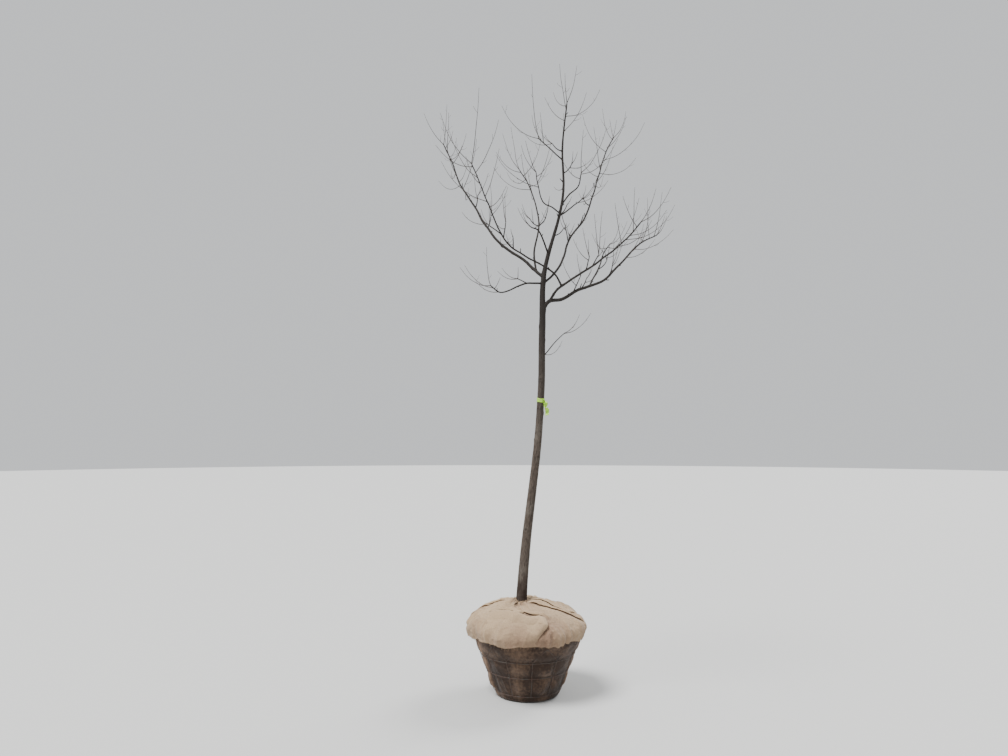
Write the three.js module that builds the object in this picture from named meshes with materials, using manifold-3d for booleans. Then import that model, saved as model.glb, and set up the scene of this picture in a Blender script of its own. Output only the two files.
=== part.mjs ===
// A young shade tree, lifted from its row for planting: a leafless sapling whose root ball is
// wrapped in burlap, held in a wire basket and covered with a burlap cap.
// Millimetres, +Z up. Seen from -Y, +X is to the right. The origin is the centre of the
// flat underside of the root ball.

import * as THREE from "three";
import { mergeVertices } from "three/addons/utils/BufferGeometryUtils.js";
import Module from "manifold-3d";

// Driving dimensions

// Clearance between pieces that touch on the real plant.
const GAP = 0.35;

// The root ball is a cone that opens upwards under a flattened dome.
const BALL_SIDES = 24;
const FOOT_RADIUS = 172;
const FOOT_CORNER = 24;
const FOOT_CORNER_HEIGHT = 20;
const SHOULDER_RADIUS = 342;
const SHOULDER_HEIGHT = 394;
const DOME_RISE = 138;
const SEAT_HEIGHT = 522;

// The burlap cap lies on the dome, and its hem hangs over the shoulder, lowest on the right.
const CAP_SIDES = 42;
const CAP_RADIUS = 355;
const CAP_RISE = 151;
const HEM_HEIGHT = 350;
const HEM_SLOPE = 7;
const HEM_SAG = 6;
const HEM_WAVE = 6;
const HEM_WAVES = 7;
const HEM_OFF_BALL = 7.5;
const HEM_THICKNESS = 14.5;

// The basket has rings round the ball, uprights between them and a zigzag of loops above.
const WIRE = 3.8;
const WIRE_SIDES = 3;
const WIRE_OFF_BURLAP = 2.4;
const RING_HEIGHTS = [40, 155, 250];
const UPRIGHTS = 12;
const UPRIGHTS_TURN = 4;
const LOOP_TOP_HEIGHT = 330;

// The marker ribbon is tied round the trunk, and one end of it hangs free.
const RIBBON_ALONG = 1262;
const RIBBON_WIDTH = 27;
const RIBBON_THICKNESS = 2;
const RIBBON_TAIL = 95;
const RIBBON_TAIL_LEAN = 16;

// Every limb is a run of legs: [length, rise above level, heading], in mm and degrees.
// Heading 0 is +X, 90 is +Y. A leg's ends are joined by one smooth curve.
const TRUNK_BASE_X = -36;
const TRUNK_LEGS = [
  [250, 86, 0],
  [890, 83.5, 5],
  [570, 88, 335],
  [355, 88, 10],
  [525, 76, 8],
  [320, 89, 250],
  [300, 83.5, 335],
];
// Trunk diameters at distances along it, from the root flare to the tip of the leader.
const TRUNK_GIRTH = [
  [0, 78],
  [45, 66],
  [120, 63],
  [500, 54],
  [1250, 43],
  [1750, 41],
  [1960, 34],
  [2290, 21],
  [2650, 15],
  [3210, 8],
];
const TRUNK_SIDES = 9;
const TRUNK_STEP = 66;
const TRUNK_ENDS = 2960;

// The boughs and branches: the limb that each one springs from and how far along it, its
// legs, its diameters at both ends, the length at which it enters its own twigs, and the
// number of short side twigs that the rule sets on it before that.
const LIMBS = [
  {
    name: "left_bough",
    from: "trunk",
    along: 2048,
    legs: [
      [185, 42, 159],
      [195, 37, 157],
      [225, 50, 142],
      [175, 55, 135],
      [195, 55, 147],
      [215, 65, 138],
      [145, 63, 153],
    ],
    girth: [20, 7],
    ends: 850,
    sideTwigs: 3,
  },
  {
    name: "inner_riser",
    from: "left_bough",
    along: 68,
    legs: [[140, 65, 98], [265, 64, 72], [345, 61, 110], [185, 55, 131]],
    girth: [13, 6],
    ends: 580,
    sideTwigs: 1,
  },
  {
    name: "right_lower_bough",
    from: "trunk",
    along: 1832,
    legs: [[70, 51, 0], [80, 13, 16], [120, 30, 17], [205, 23, 18], [390, 44, 17], [130, 28, 15]],
    girth: [24, 7],
    ends: 640,
    sideTwigs: 2,
  },
  {
    name: "right_upper_bough",
    from: "right_lower_bough",
    along: 66,
    legs: [[100, 47, 321], [310, 22, 319], [265, 24, 312], [130, 31, 304]],
    girth: [16, 7],
    ends: 500,
    sideTwigs: 1,
  },
  {
    name: "right_inner_bough",
    from: "right_lower_bough",
    along: 375,
    legs: [[210, 47, 56], [145, 48, 67], [145, 41, 57]],
    girth: [11, 6],
    ends: 300,
    sideTwigs: 1,
  },
  {
    name: "crossing_bough",
    from: "right_upper_bough",
    along: 135,
    legs: [[90, 50, 218], [320, 25, 204], [125, 41, 219], [320, 53, 231], [110, 53, 229]],
    girth: [12, 6],
    ends: 620,
    sideTwigs: 1,
  },
  {
    name: "right_centre_bough",
    from: "trunk",
    along: 2006,
    legs: [
      [95, 38, 36],
      [110, 47, 42],
      [250, 57, 55],
      [200, 50, 39],
      [190, 60, 47],
      [435, 65, 48],
      [130, 60, 27],
    ],
    girth: [15, 7],
    ends: 900,
    sideTwigs: 3,
  },
  {
    name: "short_left_branch",
    from: "trunk",
    along: 1999,
    legs: [[110, -5, 208], [245, -21, 221], [100, 14, 234]],
    girth: [12, 7],
    ends: 340,
    sideTwigs: 0,
  },
  {
    name: "leader_stub_branch",
    from: "trunk",
    along: 2198,
    legs: [[165, 50, 233], [65, 8, 222]],
    girth: [11, 8],
    ends: 165,
    sideTwigs: 0,
  },
  {
    name: "leader_right_back_branch",
    from: "trunk",
    along: 2463,
    legs: [[150, 35, 43], [150, 34, 52]],
    girth: [10, 6],
    ends: 190,
    sideTwigs: 0,
  },
  {
    name: "leader_left_branch",
    from: "trunk",
    along: 2482,
    legs: [[65, 24, 214], [80, 13, 220], [120, 54, 237], [75, 56, 253]],
    girth: [9, 5],
    ends: 210,
    sideTwigs: 0,
  },
  {
    name: "leader_right_branch",
    from: "trunk",
    along: 2535,
    legs: [[85, 37, 311], [90, 20, 306], [85, 53, 288]],
    girth: [10, 6],
    ends: 165,
    sideTwigs: 0,
  },
  {
    name: "leader_top_branch",
    from: "trunk",
    along: 2836,
    legs: [[155, 26, 216], [65, 20, 222]],
    girth: [8, 6],
    ends: 130,
    sideTwigs: 0,
  },
];
const LEADER_SIDE_TWIGS = 5;
const LEADER_SIDE_TWIGS_FROM = 2260;
const BOUGH_SIDE_TWIGS_FROM = 0.3;
const LIMB_SIDES = 6;
const LIMB_STEP = 46;

// Side twigs that have a place of their own: limb, distance along it and legs.
const PLACED_TWIGS = [
  { name: "trunk_side_twigs", from: "trunk", along: 1527, legs: [[135, 48, 338], [75, 41, 339]] },
  { name: "crossing_bough_upright_twigs", from: "crossing_bough", along: 500, legs: [[105, 75, 60]] },
  { name: "crossing_bough_outer_twigs", from: "crossing_bough", along: 515, legs: [[110, 35, 185]] },
  { name: "inner_riser_side_twigs", from: "inner_riser", along: 370, legs: [[50, 45, 350], [60, 70, 10]] },
  { name: "right_centre_fork_twigs", from: "right_centre_bough", along: 415, legs: [[120, 80, 190]] },
  { name: "right_upper_knob_twigs", from: "right_upper_bough", along: 385, legs: [[80, 60, 340]] },
  { name: "right_lower_thin_twigs", from: "right_lower_bough", along: 250, legs: [[115, 62, 330]] },
  { name: "short_left_fork_twigs", from: "short_left_branch", along: 120, legs: [[65, 25, 190]] },
];

// Twig stems and the last year's shoots on them. A shoot leaves its stem at a wide angle,
// turns upwards as it grows and wanders a little.
const TWIG_GIRTH = [7.5, 5];
const SIDE_TWIG_SIDES = 4;
const SIDE_TWIG_LENGTH = 85;
const SHOOT_GIRTH = [4.4, 1.8];
const SHOOT_LENGTHS = [180, 420];
const SHOOT_SHRINK = 0.85;
const SHOOT_LEAVES = [48, 80];
const SHOOT_SIDES = 3;
const SHOOT_STEPS = 4;
const TIP_SHOOT_LEAVES = [8, 40];
const SHOOT_LIFT = 0.34;
const SHOOT_WANDER = 0.16;
const SHOOT_LOWEST_RISE = -0.12;
const SHOOTS_START = 26;
const SHOOT_SPACING = 46;
const SHOOTS_AT_TIP = 2;
const SHOOTS_ON_SIDE_TWIG = 3;
const MOST_SHOOTS = 50;
const TRIES = 14;
const TURN = 137.5;

// A mass keeps to the space that lies nearer to its own stem than to any other stem, by
// this margin, and its twigs keep this clear of every limb.
const SPACE_MARGIN = 12;
const LIMB_CLEARANCE = 14;
const CROWN_MIDDLE_X = 110;
const CROWN_RADIUS = 900;
const CROWN_TOP = 3990;
const CHECK_STEP = 10;

const FINISHES = {
  soiledBurlap: { color: 0x5b4a3d, roughness: 0.95, metalness: 0 },
  cleanBurlap: { color: 0xbfa98c, roughness: 0.95, metalness: 0 },
  wire: { color: 0x77716b, roughness: 0.5, metalness: 0.7 },
  ribbon: { color: 0x9be22a, roughness: 0.4, metalness: 0 },
  bark: { color: 0x544b44, roughness: 0.85, metalness: 0 },
  twig: { color: 0x4a3f38, roughness: 0.8, metalness: 0 },
};

// Solids

const MERGE_DISTANCE = 1e-4;
const manifoldLibrary = await Module();
manifoldLibrary.setup();

/** The closed solid of a geometry, with its shared corners merged. */
function solidOf(geometry) {
  const bare = geometry.clone();
  bare.deleteAttribute("normal");
  bare.deleteAttribute("uv");
  const merged = mergeVertices(bare, MERGE_DISTANCE);
  const corners = merged.index.array;
  const kept = [];
  for (let i = 0; i < corners.length; i += 3) {
    const [a, b, c] = corners.slice(i, i + 3);
    if (a !== b && b !== c && c !== a) {
      kept.push(a, b, c);
    }
  }
  const mesh = new manifoldLibrary.Mesh({
    numProp: 3,
    vertProperties: new Float32Array(merged.attributes.position.array),
    triVerts: new Uint32Array(kept),
  });
  return new manifoldLibrary.Manifold(mesh);
}

/** The largest piece of a solid: loose scraps are dropped. */
function largestPiece(solid) {
  const pieces = solid.decompose();
  return pieces.reduce((best, piece) => (piece.volume() > best.volume() ? piece : best));
}

/** A named mesh of a solid, with a material of its own. */
function meshOf(name, solid, finish) {
  const shape = solid.getMesh();
  const geometry = new THREE.BufferGeometry();
  geometry.setAttribute("position", new THREE.BufferAttribute(shape.vertProperties, 3));
  geometry.setIndex(new THREE.BufferAttribute(shape.triVerts, 1));
  geometry.computeVertexNormals();
  const mesh = new THREE.Mesh(geometry, new THREE.MeshStandardMaterial(finish));
  mesh.name = name;
  return mesh;
}

// Paths

/** The unit vector of a rise and a heading in degrees. */
function wayOf(rise, heading) {
  const up = THREE.MathUtils.degToRad(rise);
  const round = THREE.MathUtils.degToRad(heading);
  return new THREE.Vector3(
    Math.cos(up) * Math.cos(round),
    Math.cos(up) * Math.sin(round),
    Math.sin(up),
  );
}

/** Points about CHECK_STEP apart on the smooth curve through the ends of the legs. */
function curveThrough(start, legs) {
  const corners = [start.clone()];
  for (const [length, rise, heading] of legs) {
    corners.push(corners.at(-1).clone().addScaledVector(wayOf(rise, heading), length));
  }
  const curve = new THREE.CatmullRomCurve3(corners);
  const points = [];
  legs.forEach(([length], leg) => {
    const steps = Math.round(length / CHECK_STEP);
    for (let step = 0; step < steps; step += 1) {
      points.push(curve.getPoint((leg + step / steps) / legs.length));
    }
  });
  points.push(corners.at(-1));
  return points;
}

/** Stations of a path: at each point its way, two axes square to it and the run so far. */
function stationsOf(points) {
  const nearlyAlong = 0.9;
  const stations = [];
  let across = null;
  let run = 0;
  points.forEach((spot, i) => {
    const before = points[Math.max(i - 1, 0)];
    const after = points[Math.min(i + 1, points.length - 1)];
    const way = after.clone().sub(before).normalize();
    if (across === null) {
      const sideways = Math.abs(way.x) < nearlyAlong;
      across = sideways ? new THREE.Vector3(1, 0, 0) : new THREE.Vector3(0, 1, 0);
    }
    across = across.clone().addScaledVector(way, -across.dot(way)).normalize();
    run += spot.distanceTo(before);
    stations.push({ spot, way, across, beside: across.clone().cross(way), run, radius: 0 });
  });
  return stations;
}

/** Sets each station's radius from [distance, diameter] pairs. */
function setGirth(stations, girth) {
  for (const station of stations) {
    const next = girth.findIndex(([run]) => run >= station.run);
    const last = next === -1 ? girth.length - 1 : Math.max(next, 1);
    const [runA, wideA] = girth[last - 1];
    const [runB, wideB] = girth[last];
    const share = THREE.MathUtils.clamp((station.run - runA) / (runB - runA), 0, 1);
    station.radius = THREE.MathUtils.lerp(wideA, wideB, share) / 2;
  }
  return stations;
}

/** Stations along legs from a start, tapering evenly between two diameters. */
function taperedLimb(start, legs, [wide, narrow]) {
  const stations = stationsOf(curveThrough(start, legs));
  return setGirth(stations, [[0, wide], [stations.at(-1).run, narrow]]);
}

/** The station of a limb that lies nearest to a distance along it. */
function stationAt(stations, along) {
  return stations.reduce((best, station) =>
    (Math.abs(station.run - along) < Math.abs(best.run - along) ? station : best));
}

/** Every few stations of a stretch, always with its first and last one. */
function thinned(stations, step) {
  const kept = [stations[0]];
  for (const station of stations) {
    const left = stations.at(-1).run - station.run;
    if (station.run - kept.at(-1).run >= step && left >= step / 2) {
      kept.push(station);
    }
  }
  kept.push(stations.at(-1));
  return kept;
}

/** A closed limb: a cylinder bent along its stations and swollen to their radii. */
function limbSolid(stations, sides, extra = 0) {
  const steps = stations.length - 1;
  const geometry = new THREE.CylinderGeometry(1, 1, 1, sides, steps);
  const corners = geometry.attributes.position;
  for (let i = 0; i < corners.count; i += 1) {
    const station = stations[Math.round((corners.getY(i) + 0.5) * steps)];
    const radius = station.radius + extra;
    const corner = station.spot.clone()
      .addScaledVector(station.across, corners.getX(i) * radius)
      .addScaledVector(station.beside, corners.getZ(i) * radius);
    corners.setXYZ(i, corner.x, corner.y, corner.z);
  }
  return solidOf(geometry);
}

// Root ball, cap and basket

/** The ball's half width at a height below its shoulder. */
function ballSideRadius(height) {
  const cornerRadius = FOOT_RADIUS + FOOT_CORNER;
  const share = (height - FOOT_CORNER_HEIGHT) / (SHOULDER_HEIGHT - FOOT_CORNER_HEIGHT);
  return THREE.MathUtils.lerp(cornerRadius, SHOULDER_RADIUS, share);
}

/** Points of a dome's outline from its edge up to a height, or to its top. */
function domeOutline(radius, rise, steps, highest) {
  const outline = [];
  for (let step = 0; step <= steps; step += 1) {
    const turn = (Math.PI / 2) * (step / steps);
    const height = SHOULDER_HEIGHT + rise * Math.sin(turn);
    if (height < highest) {
      outline.push(new THREE.Vector2(radius * Math.cos(turn), height));
    }
  }
  return outline;
}

/** A solid turned about the vertical axis from an outline that ends on that axis. */
function turnedSolid(outline) {
  const geometry = new THREE.LatheGeometry(outline, BALL_SIDES);
  geometry.rotateX(Math.PI / 2);
  return solidOf(geometry);
}

/** The flat-footed outline of the ball, grown outwards and upwards by a clearance. */
function ballOutline(extra) {
  const seat = SEAT_HEIGHT + extra;
  const cornerSteps = 3;
  const domeSteps = 7;
  const outline = [new THREE.Vector2(0, 0)];
  for (let step = 0; step <= cornerSteps; step += 1) {
    const turn = (Math.PI / 2) * (step / cornerSteps);
    const radius = FOOT_RADIUS + FOOT_CORNER * Math.sin(turn) + extra;
    outline.push(new THREE.Vector2(radius, FOOT_CORNER_HEIGHT * (1 - Math.cos(turn))));
  }
  const dome = domeOutline(SHOULDER_RADIUS + extra, DOME_RISE + extra, domeSteps, seat);
  const seatShare = (seat - SHOULDER_HEIGHT) / (DOME_RISE + extra);
  const seatRadius = (SHOULDER_RADIUS + extra) * Math.sqrt(1 - seatShare ** 2);
  return [...outline, ...dome, new THREE.Vector2(seatRadius, seat), new THREE.Vector2(0, seat)];
}

/** Height of the cap's hem at an angle round the ball. */
function hemHeight(angle) {
  const sag = HEM_SLOPE * Math.cos(angle) + HEM_SAG * Math.cos(2 * angle);
  return HEM_HEIGHT - sag + HEM_WAVE * Math.sin(HEM_WAVES * angle);
}

/** The cap: a dome laid on the ball, with a skirt that stands a little off its side. */
function capSolid(ballWithClearance, trunkWithClearance) {
  const domeSteps = 7;
  const hemInside = ballSideRadius(HEM_HEIGHT) + HEM_OFF_BALL;
  const outline = [
    new THREE.Vector2(0, SHOULDER_HEIGHT),
    new THREE.Vector2(SHOULDER_RADIUS + HEM_OFF_BALL, SHOULDER_HEIGHT),
    new THREE.Vector2(hemInside, HEM_HEIGHT),
    new THREE.Vector2(hemInside + HEM_THICKNESS, HEM_HEIGHT),
    ...domeOutline(CAP_RADIUS, CAP_RISE, domeSteps, Infinity),
  ];
  const geometry = new THREE.LatheGeometry(outline, CAP_SIDES);
  geometry.rotateX(Math.PI / 2);
  const corners = geometry.attributes.position;
  for (let i = 0; i < corners.count; i += 1) {
    const height = corners.getZ(i);
    if (height < SHOULDER_HEIGHT) {
      const angle = Math.atan2(corners.getY(i), corners.getX(i));
      const lower = hemHeight(angle);
      const radius = Math.hypot(corners.getX(i), corners.getY(i));
      const moved = radius + ballSideRadius(lower) - ballSideRadius(height);
      corners.setXYZ(i, moved * Math.cos(angle), moved * Math.sin(angle), lower);
    }
  }
  return largestPiece(solidOf(geometry).subtract(ballWithClearance).subtract(trunkWithClearance));
}

/** How far the ball's side leans out for each millimetre of height. */
function ballSideSlope() {
  return (ballSideRadius(SHOULDER_HEIGHT) - ballSideRadius(0)) / SHOULDER_HEIGHT;
}

/** Distance of a wire's centre from the axis, at a height where it stands off the burlap. */
function wireRadius(height) {
  return ballSideRadius(height) + (WIRE_OFF_BURLAP + WIRE / 2) * Math.hypot(1, ballSideSlope());
}

/** A point on the wire's line round the ball. */
function wirePoint(height, angle) {
  const radius = wireRadius(height);
  return new THREE.Vector3(radius * Math.cos(angle), radius * Math.sin(angle), height);
}

/** A wire with a three-sided section through some points. */
function wireSolid(points) {
  const stations = stationsOf(points);
  stations.forEach((station) => {
    station.radius = WIRE / 2;
  });
  return limbSolid(stations, WIRE_SIDES);
}

/** A ring of wire round the ball. */
function wireRing(height) {
  const ring = new THREE.TorusGeometry(wireRadius(height), WIRE / 2, WIRE_SIDES, BALL_SIDES);
  ring.translate(0, 0, height);
  return solidOf(ring);
}

/** The wire basket, welded where its wires meet. */
function basketSolid() {
  const [lowest] = RING_HEIGHTS;
  const highest = RING_HEIGHTS.at(-1);
  const pitch = (2 * Math.PI) / UPRIGHTS;
  const loopShares = [0, 1, 0];
  const wires = RING_HEIGHTS.map(wireRing);
  for (let i = 0; i < UPRIGHTS; i += 1) {
    const angle = pitch * i + THREE.MathUtils.degToRad(UPRIGHTS_TURN);
    const loop = loopShares.map((share, k) => wirePoint(
      THREE.MathUtils.lerp(highest, LOOP_TOP_HEIGHT, share),
      angle + (pitch * k) / (loopShares.length - 1),
    ));
    wires.push(wireSolid([wirePoint(lowest, angle), wirePoint(highest, angle)]));
    wires.push(wireSolid(loop));
  }
  return wires.reduce((basket, wire) => basket.add(wire));
}

/** The ribbon: a band round the trunk with one end hanging from it. */
function ribbonSolid(trunk, trunkWithClearance) {
  const half = RIBBON_WIDTH / 2;
  const knot = stationAt(trunk, RIBBON_ALONG);
  const edges = [-half, half].map((shift) =>
    ({ ...knot, spot: knot.spot.clone().addScaledVector(knot.way, shift) }));
  const band = limbSolid(edges, TRUNK_SIDES, GAP + RIBBON_THICKNESS);
  const outline = new THREE.Shape();
  outline.moveTo(0, half);
  outline.lineTo(RIBBON_TAIL_LEAN + half, 0);
  outline.lineTo(RIBBON_TAIL_LEAN + RIBBON_WIDTH, half - RIBBON_TAIL);
  outline.lineTo(RIBBON_TAIL_LEAN, -RIBBON_TAIL);
  outline.lineTo(RIBBON_TAIL_LEAN / 2, -half);
  outline.lineTo(0, -half);
  const tail = new THREE.ExtrudeGeometry(outline, { depth: RIBBON_THICKNESS, bevelEnabled: false });
  tail.rotateX(Math.PI / 2);
  tail.translate(knot.spot.x + knot.radius / 2, knot.spot.y - knot.radius / 2, knot.spot.z);
  return largestPiece(band.add(solidOf(tail)).subtract(trunkWithClearance));
}

// Twigs

/** A run of numbers between 0 and 1 that is the same each time for the same seed. */
function seededRandom(seed) {
  const modulus = 2147483647;
  const multiplier = 16807;
  const seedStride = 7919;
  const seedShift = 12345;
  let state = (seed * seedStride + seedShift) % modulus;
  return () => {
    state = (state * multiplier) % modulus;
    return state / modulus;
  };
}

/** A way that leaves a station at an angle to it, turned about it, both in degrees. */
function wayLeaving(station, leaves, turn) {
  const lean = THREE.MathUtils.degToRad(leaves);
  const round = THREE.MathUtils.degToRad(turn);
  return station.way.clone().multiplyScalar(Math.cos(lean))
    .addScaledVector(station.across, Math.sin(lean) * Math.cos(round))
    .addScaledVector(station.beside, Math.sin(lean) * Math.sin(round));
}

/** A shoot's points: it leaves one way and turns up by a like amount at each step. */
function shootPoints(root, way, length, random) {
  const points = [root.clone()];
  const heading = way.clone();
  for (let step = 0; step < SHOOT_STEPS; step += 1) {
    points.push(points.at(-1).clone().addScaledVector(heading, length / SHOOT_STEPS));
    heading.x += SHOOT_WANDER * (random() - 0.5);
    heading.y += SHOOT_WANDER * (random() - 0.5);
    heading.z += SHOOT_LIFT;
    heading.normalize();
  }
  return points;
}

/** Points about CHECK_STEP apart on straight lines between a shoot's points. */
function checkPoints(points, start) {
  const checked = [];
  for (let i = 1; i < points.length; i += 1) {
    const steps = Math.ceil(points[i].distanceTo(points[i - 1]) / CHECK_STEP);
    for (let step = 1; step <= steps; step += 1) {
      checked.push(points[i - 1].clone().lerp(points[i], step / steps));
    }
  }
  return checked.filter((point) => point.distanceTo(points[0]) > start);
}

/** Whether a point lies within the crown's reach. */
function isInCrown({ x, y, z }) {
  return Math.hypot(x - CROWN_MIDDLE_X, y) < CROWN_RADIUS && z < CROWN_TOP;
}

/** Whether points stay clear of every limb. */
function clearsLimbs(points, limbs) {
  return points.every((point) => limbs.every((limb) => limb.every((station) =>
    point.distanceTo(station.spot) > station.radius + LIMB_CLEARANCE)));
}

/** The distance from a point to the nearest station of a stem. */
function distanceToStem(point, stem) {
  return stem.reduce((least, station) => Math.min(least, point.distanceTo(station.spot)), Infinity);
}

/** Whether points stay in the space that is nearer to their own stem than to the others. */
function keepsItsSpace(points, own, others) {
  return points.every((point) => {
    const reach = distanceToStem(point, own) + SPACE_MARGIN;
    return others.every((other) => distanceToStem(point, other) > reach);
  });
}

/** The shoots of one mass, each tried a few times and skipped if none of the tries fits. */
function growShoots(mass, masses, limbs) {
  const others = masses.filter((other) => other !== mass).map((other) => other.stem);
  const start = mass.stem[0].run;
  const length = mass.stem.at(-1).run - start;
  const shoots = [];
  for (let number = 0; number < mass.shoots; number += 1) {
    const atTip = number < SHOOTS_AT_TIP;
    for (let attempt = 0; attempt < TRIES; attempt += 1) {
      const random = seededRandom((mass.seed * MOST_SHOOTS + number) * TRIES + attempt);
      const share = (number - SHOOTS_AT_TIP + random()) / (mass.shoots - SHOOTS_AT_TIP);
      const run = atTip ? length : THREE.MathUtils.lerp(SHOOTS_START, length, share);
      const station = stationAt(mass.stem, start + run);
      const [leastLean, mostLean] = atTip ? TIP_SHOOT_LEAVES : SHOOT_LEAVES;
      const leaves = THREE.MathUtils.lerp(leastLean, mostLean, random());
      const way = wayLeaving(station, leaves, TURN * (number + attempt * random()));
      const shrink = 1 - SHOOT_SHRINK * (attempt / TRIES);
      const shootLength = THREE.MathUtils.lerp(...SHOOT_LENGTHS, random()) * shrink;
      const points = shootPoints(station.spot, way, shootLength, random);
      const checked = checkPoints(points, SHOOTS_START);
      const fits = way.z > SHOOT_LOWEST_RISE && checked.every(isInCrown)
        && clearsLimbs(checked, limbs) && keepsItsSpace(checked, mass.stem, others);
      if (fits) {
        shoots.push(points);
        break;
      }
    }
  }
  return shoots;
}

/** One mass: its stem with its shoots fused on, cut clear of the limb it springs from. */
function massSolid(mass, masses, limbs) {
  let solid = limbSolid(thinned(mass.stem, LIMB_STEP), mass.stemSides);
  for (const points of growShoots(mass, masses, limbs)) {
    const stations = stationsOf(points);
    setGirth(stations, [[0, SHOOT_GIRTH[0]], [stations.at(-1).run, SHOOT_GIRTH[1]]]);
    solid = solid.add(limbSolid(stations, SHOOT_SIDES));
  }
  return mass.host ? largestPiece(solid.subtract(mass.host)) : solid;
}

// Assembly

/** The end stretch of a limb, from where its bough ends, clear of it by the usual gap. */
function tipStem(stations, ends) {
  const next = stations.findIndex(({ run }) => run > ends);
  const last = stations[next - 1];
  const spot = last.spot.clone().addScaledVector(last.way, GAP);
  return [{ ...last, spot }, ...stations.slice(next)];
}

/** A side twig's stem, set by the rule: the first of a few tries that clears the limbs. */
function ruledSideStem(host, along, seed, limbs) {
  const station = stationAt(host, along);
  const others = limbs.filter((limb) => limb !== host);
  for (let attempt = 0; attempt < TRIES; attempt += 1) {
    const random = seededRandom(seed * TRIES + attempt);
    const leaves = THREE.MathUtils.lerp(...SHOOT_LEAVES, random());
    const way = wayLeaving(station, leaves, TURN * (seed + attempt));
    const points = shootPoints(station.spot, way, SIDE_TWIG_LENGTH, random);
    if (way.z > 0 && clearsLimbs(checkPoints(points, SHOOTS_START), others)) {
      return points;
    }
  }
  throw new Error("no room for a side twig");
}

const trunkStart = new THREE.Vector3(TRUNK_BASE_X, 0, SEAT_HEIGHT);
const trunk = setGirth(stationsOf(curveThrough(trunkStart, TRUNK_LEGS)), TRUNK_GIRTH);

/** Every limb in full, by name, each starting on the axis of the limb it springs from. */
function growLimbs() {
  const grown = { trunk };
  for (const { name, from, along, legs, girth } of LIMBS) {
    grown[name] = taperedLimb(stationAt(grown[from], along).spot, legs, girth);
  }
  return grown;
}

/** The stretch of each limb that is bough, up to where it enters its twigs, by name. */
function cutBoughs(grown) {
  const boughs = { trunk: trunk.filter(({ run }) => run <= TRUNK_ENDS) };
  for (const { name, ends } of LIMBS) {
    boughs[name] = grown[name].filter(({ run }) => run <= ends);
  }
  return boughs;
}

/** The masses at the ends of the limbs, whose stems run on from the boughs. */
function tipMasses(grown) {
  const tips = [{ name: "trunk", ends: TRUNK_ENDS }, ...LIMBS];
  return tips.map(({ name, ends }) => {
    const stem = tipStem(grown[name], ends);
    const length = stem.at(-1).run - stem[0].run;
    const shoots = SHOOTS_AT_TIP + Math.round(length / SHOOT_SPACING);
    const label = name === "trunk" ? "leader" : name;
    return { name: `${label}_tip_twigs`, stem, stemSides: LIMB_SIDES, shoots };
  });
}

/** The masses whose stems are side twigs with a place of their own. */
function placedMasses(boughs) {
  return PLACED_TWIGS.map(({ name, from, along, legs }) => {
    const stem = taperedLimb(stationAt(boughs[from], along).spot, legs, TWIG_GIRTH);
    return { name, from, stem, stemSides: SIDE_TWIG_SIDES, shoots: SHOOTS_ON_SIDE_TWIG };
  });
}

/** The masses whose stems the rule sets at even distances along the boughs. */
function ruledMasses(boughs) {
  const hosts = LIMBS.map(({ name, ends, sideTwigs }) =>
    ({ from: name, first: ends * BOUGH_SIDE_TWIGS_FROM, last: ends, count: sideTwigs }));
  hosts.push({
    from: "trunk",
    first: LEADER_SIDE_TWIGS_FROM,
    last: TRUNK_ENDS,
    count: LEADER_SIDE_TWIGS,
  });
  const masses = [];
  for (const { from, first, last, count } of hosts) {
    for (let number = 1; number <= count; number += 1) {
      const along = THREE.MathUtils.lerp(first, last, (number - 0.5) / count);
      const seed = masses.length + 1;
      const points = ruledSideStem(boughs[from], along, seed, Object.values(boughs));
      const stem = stationsOf([points[0], ...checkPoints(points, 0)]);
      setGirth(stem, [[0, TWIG_GIRTH[0]], [stem.at(-1).run, TWIG_GIRTH[1]]]);
      const label = from === "trunk" ? "leader" : from;
      const name = `${label}_side_twigs_${number}`;
      masses.push({ name, from, stem, stemSides: SIDE_TWIG_SIDES, shoots: SHOOTS_ON_SIDE_TWIG });
    }
  }
  return masses;
}

const grownLimbs = growLimbs();
const boughs = cutBoughs(grownLimbs);
const ballWithClearance = turnedSolid(ballOutline(GAP));
const sapling = new THREE.Group();

/** A bough's solid, or the trunk's, which is rooted in the ball to be cut flat on its seat. */
function boughSolid(name, extra) {
  if (name !== "trunk") {
    return limbSolid(thinned(boughs[name], LIMB_STEP), LIMB_SIDES, extra);
  }
  const rings = thinned(boughs.trunk, TRUNK_STEP);
  const rooted = { ...rings[0], spot: trunkStart.clone().setZ(SEAT_HEIGHT - CHECK_STEP) };
  return limbSolid([rooted, ...rings], TRUNK_SIDES, extra);
}

const withClearance = {};
for (const name of Object.keys(boughs)) {
  withClearance[name] = boughSolid(name, GAP);
}

sapling.add(meshOf("root_ball", turnedSolid(ballOutline(0)), FINISHES.soiledBurlap));
const cap = capSolid(ballWithClearance, withClearance.trunk);
sapling.add(meshOf("burlap_cap", cap, FINISHES.cleanBurlap));
sapling.add(meshOf("wire_basket", basketSolid(), FINISHES.wire));
const ribbon = ribbonSolid(trunk, withClearance.trunk);
sapling.add(meshOf("marker_ribbon", ribbon, FINISHES.ribbon));

const trunkOnSeat = boughSolid("trunk", 0).subtract(ballWithClearance);
sapling.add(meshOf("trunk", trunkOnSeat, FINISHES.bark));
for (const { name, from } of LIMBS) {
  const bough = largestPiece(boughSolid(name, 0).subtract(withClearance[from]));
  sapling.add(meshOf(name, bough, FINISHES.bark));
}

const masses = [...tipMasses(grownLimbs), ...placedMasses(boughs), ...ruledMasses(boughs)];
masses.forEach((mass, number) => {
  mass.seed = number + 1;
  mass.host = withClearance[mass.from];
});
for (const mass of masses) {
  const solid = massSolid(mass, masses, Object.values(boughs));
  sapling.add(meshOf(mass.name, solid, FINISHES.twig));
}

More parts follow.
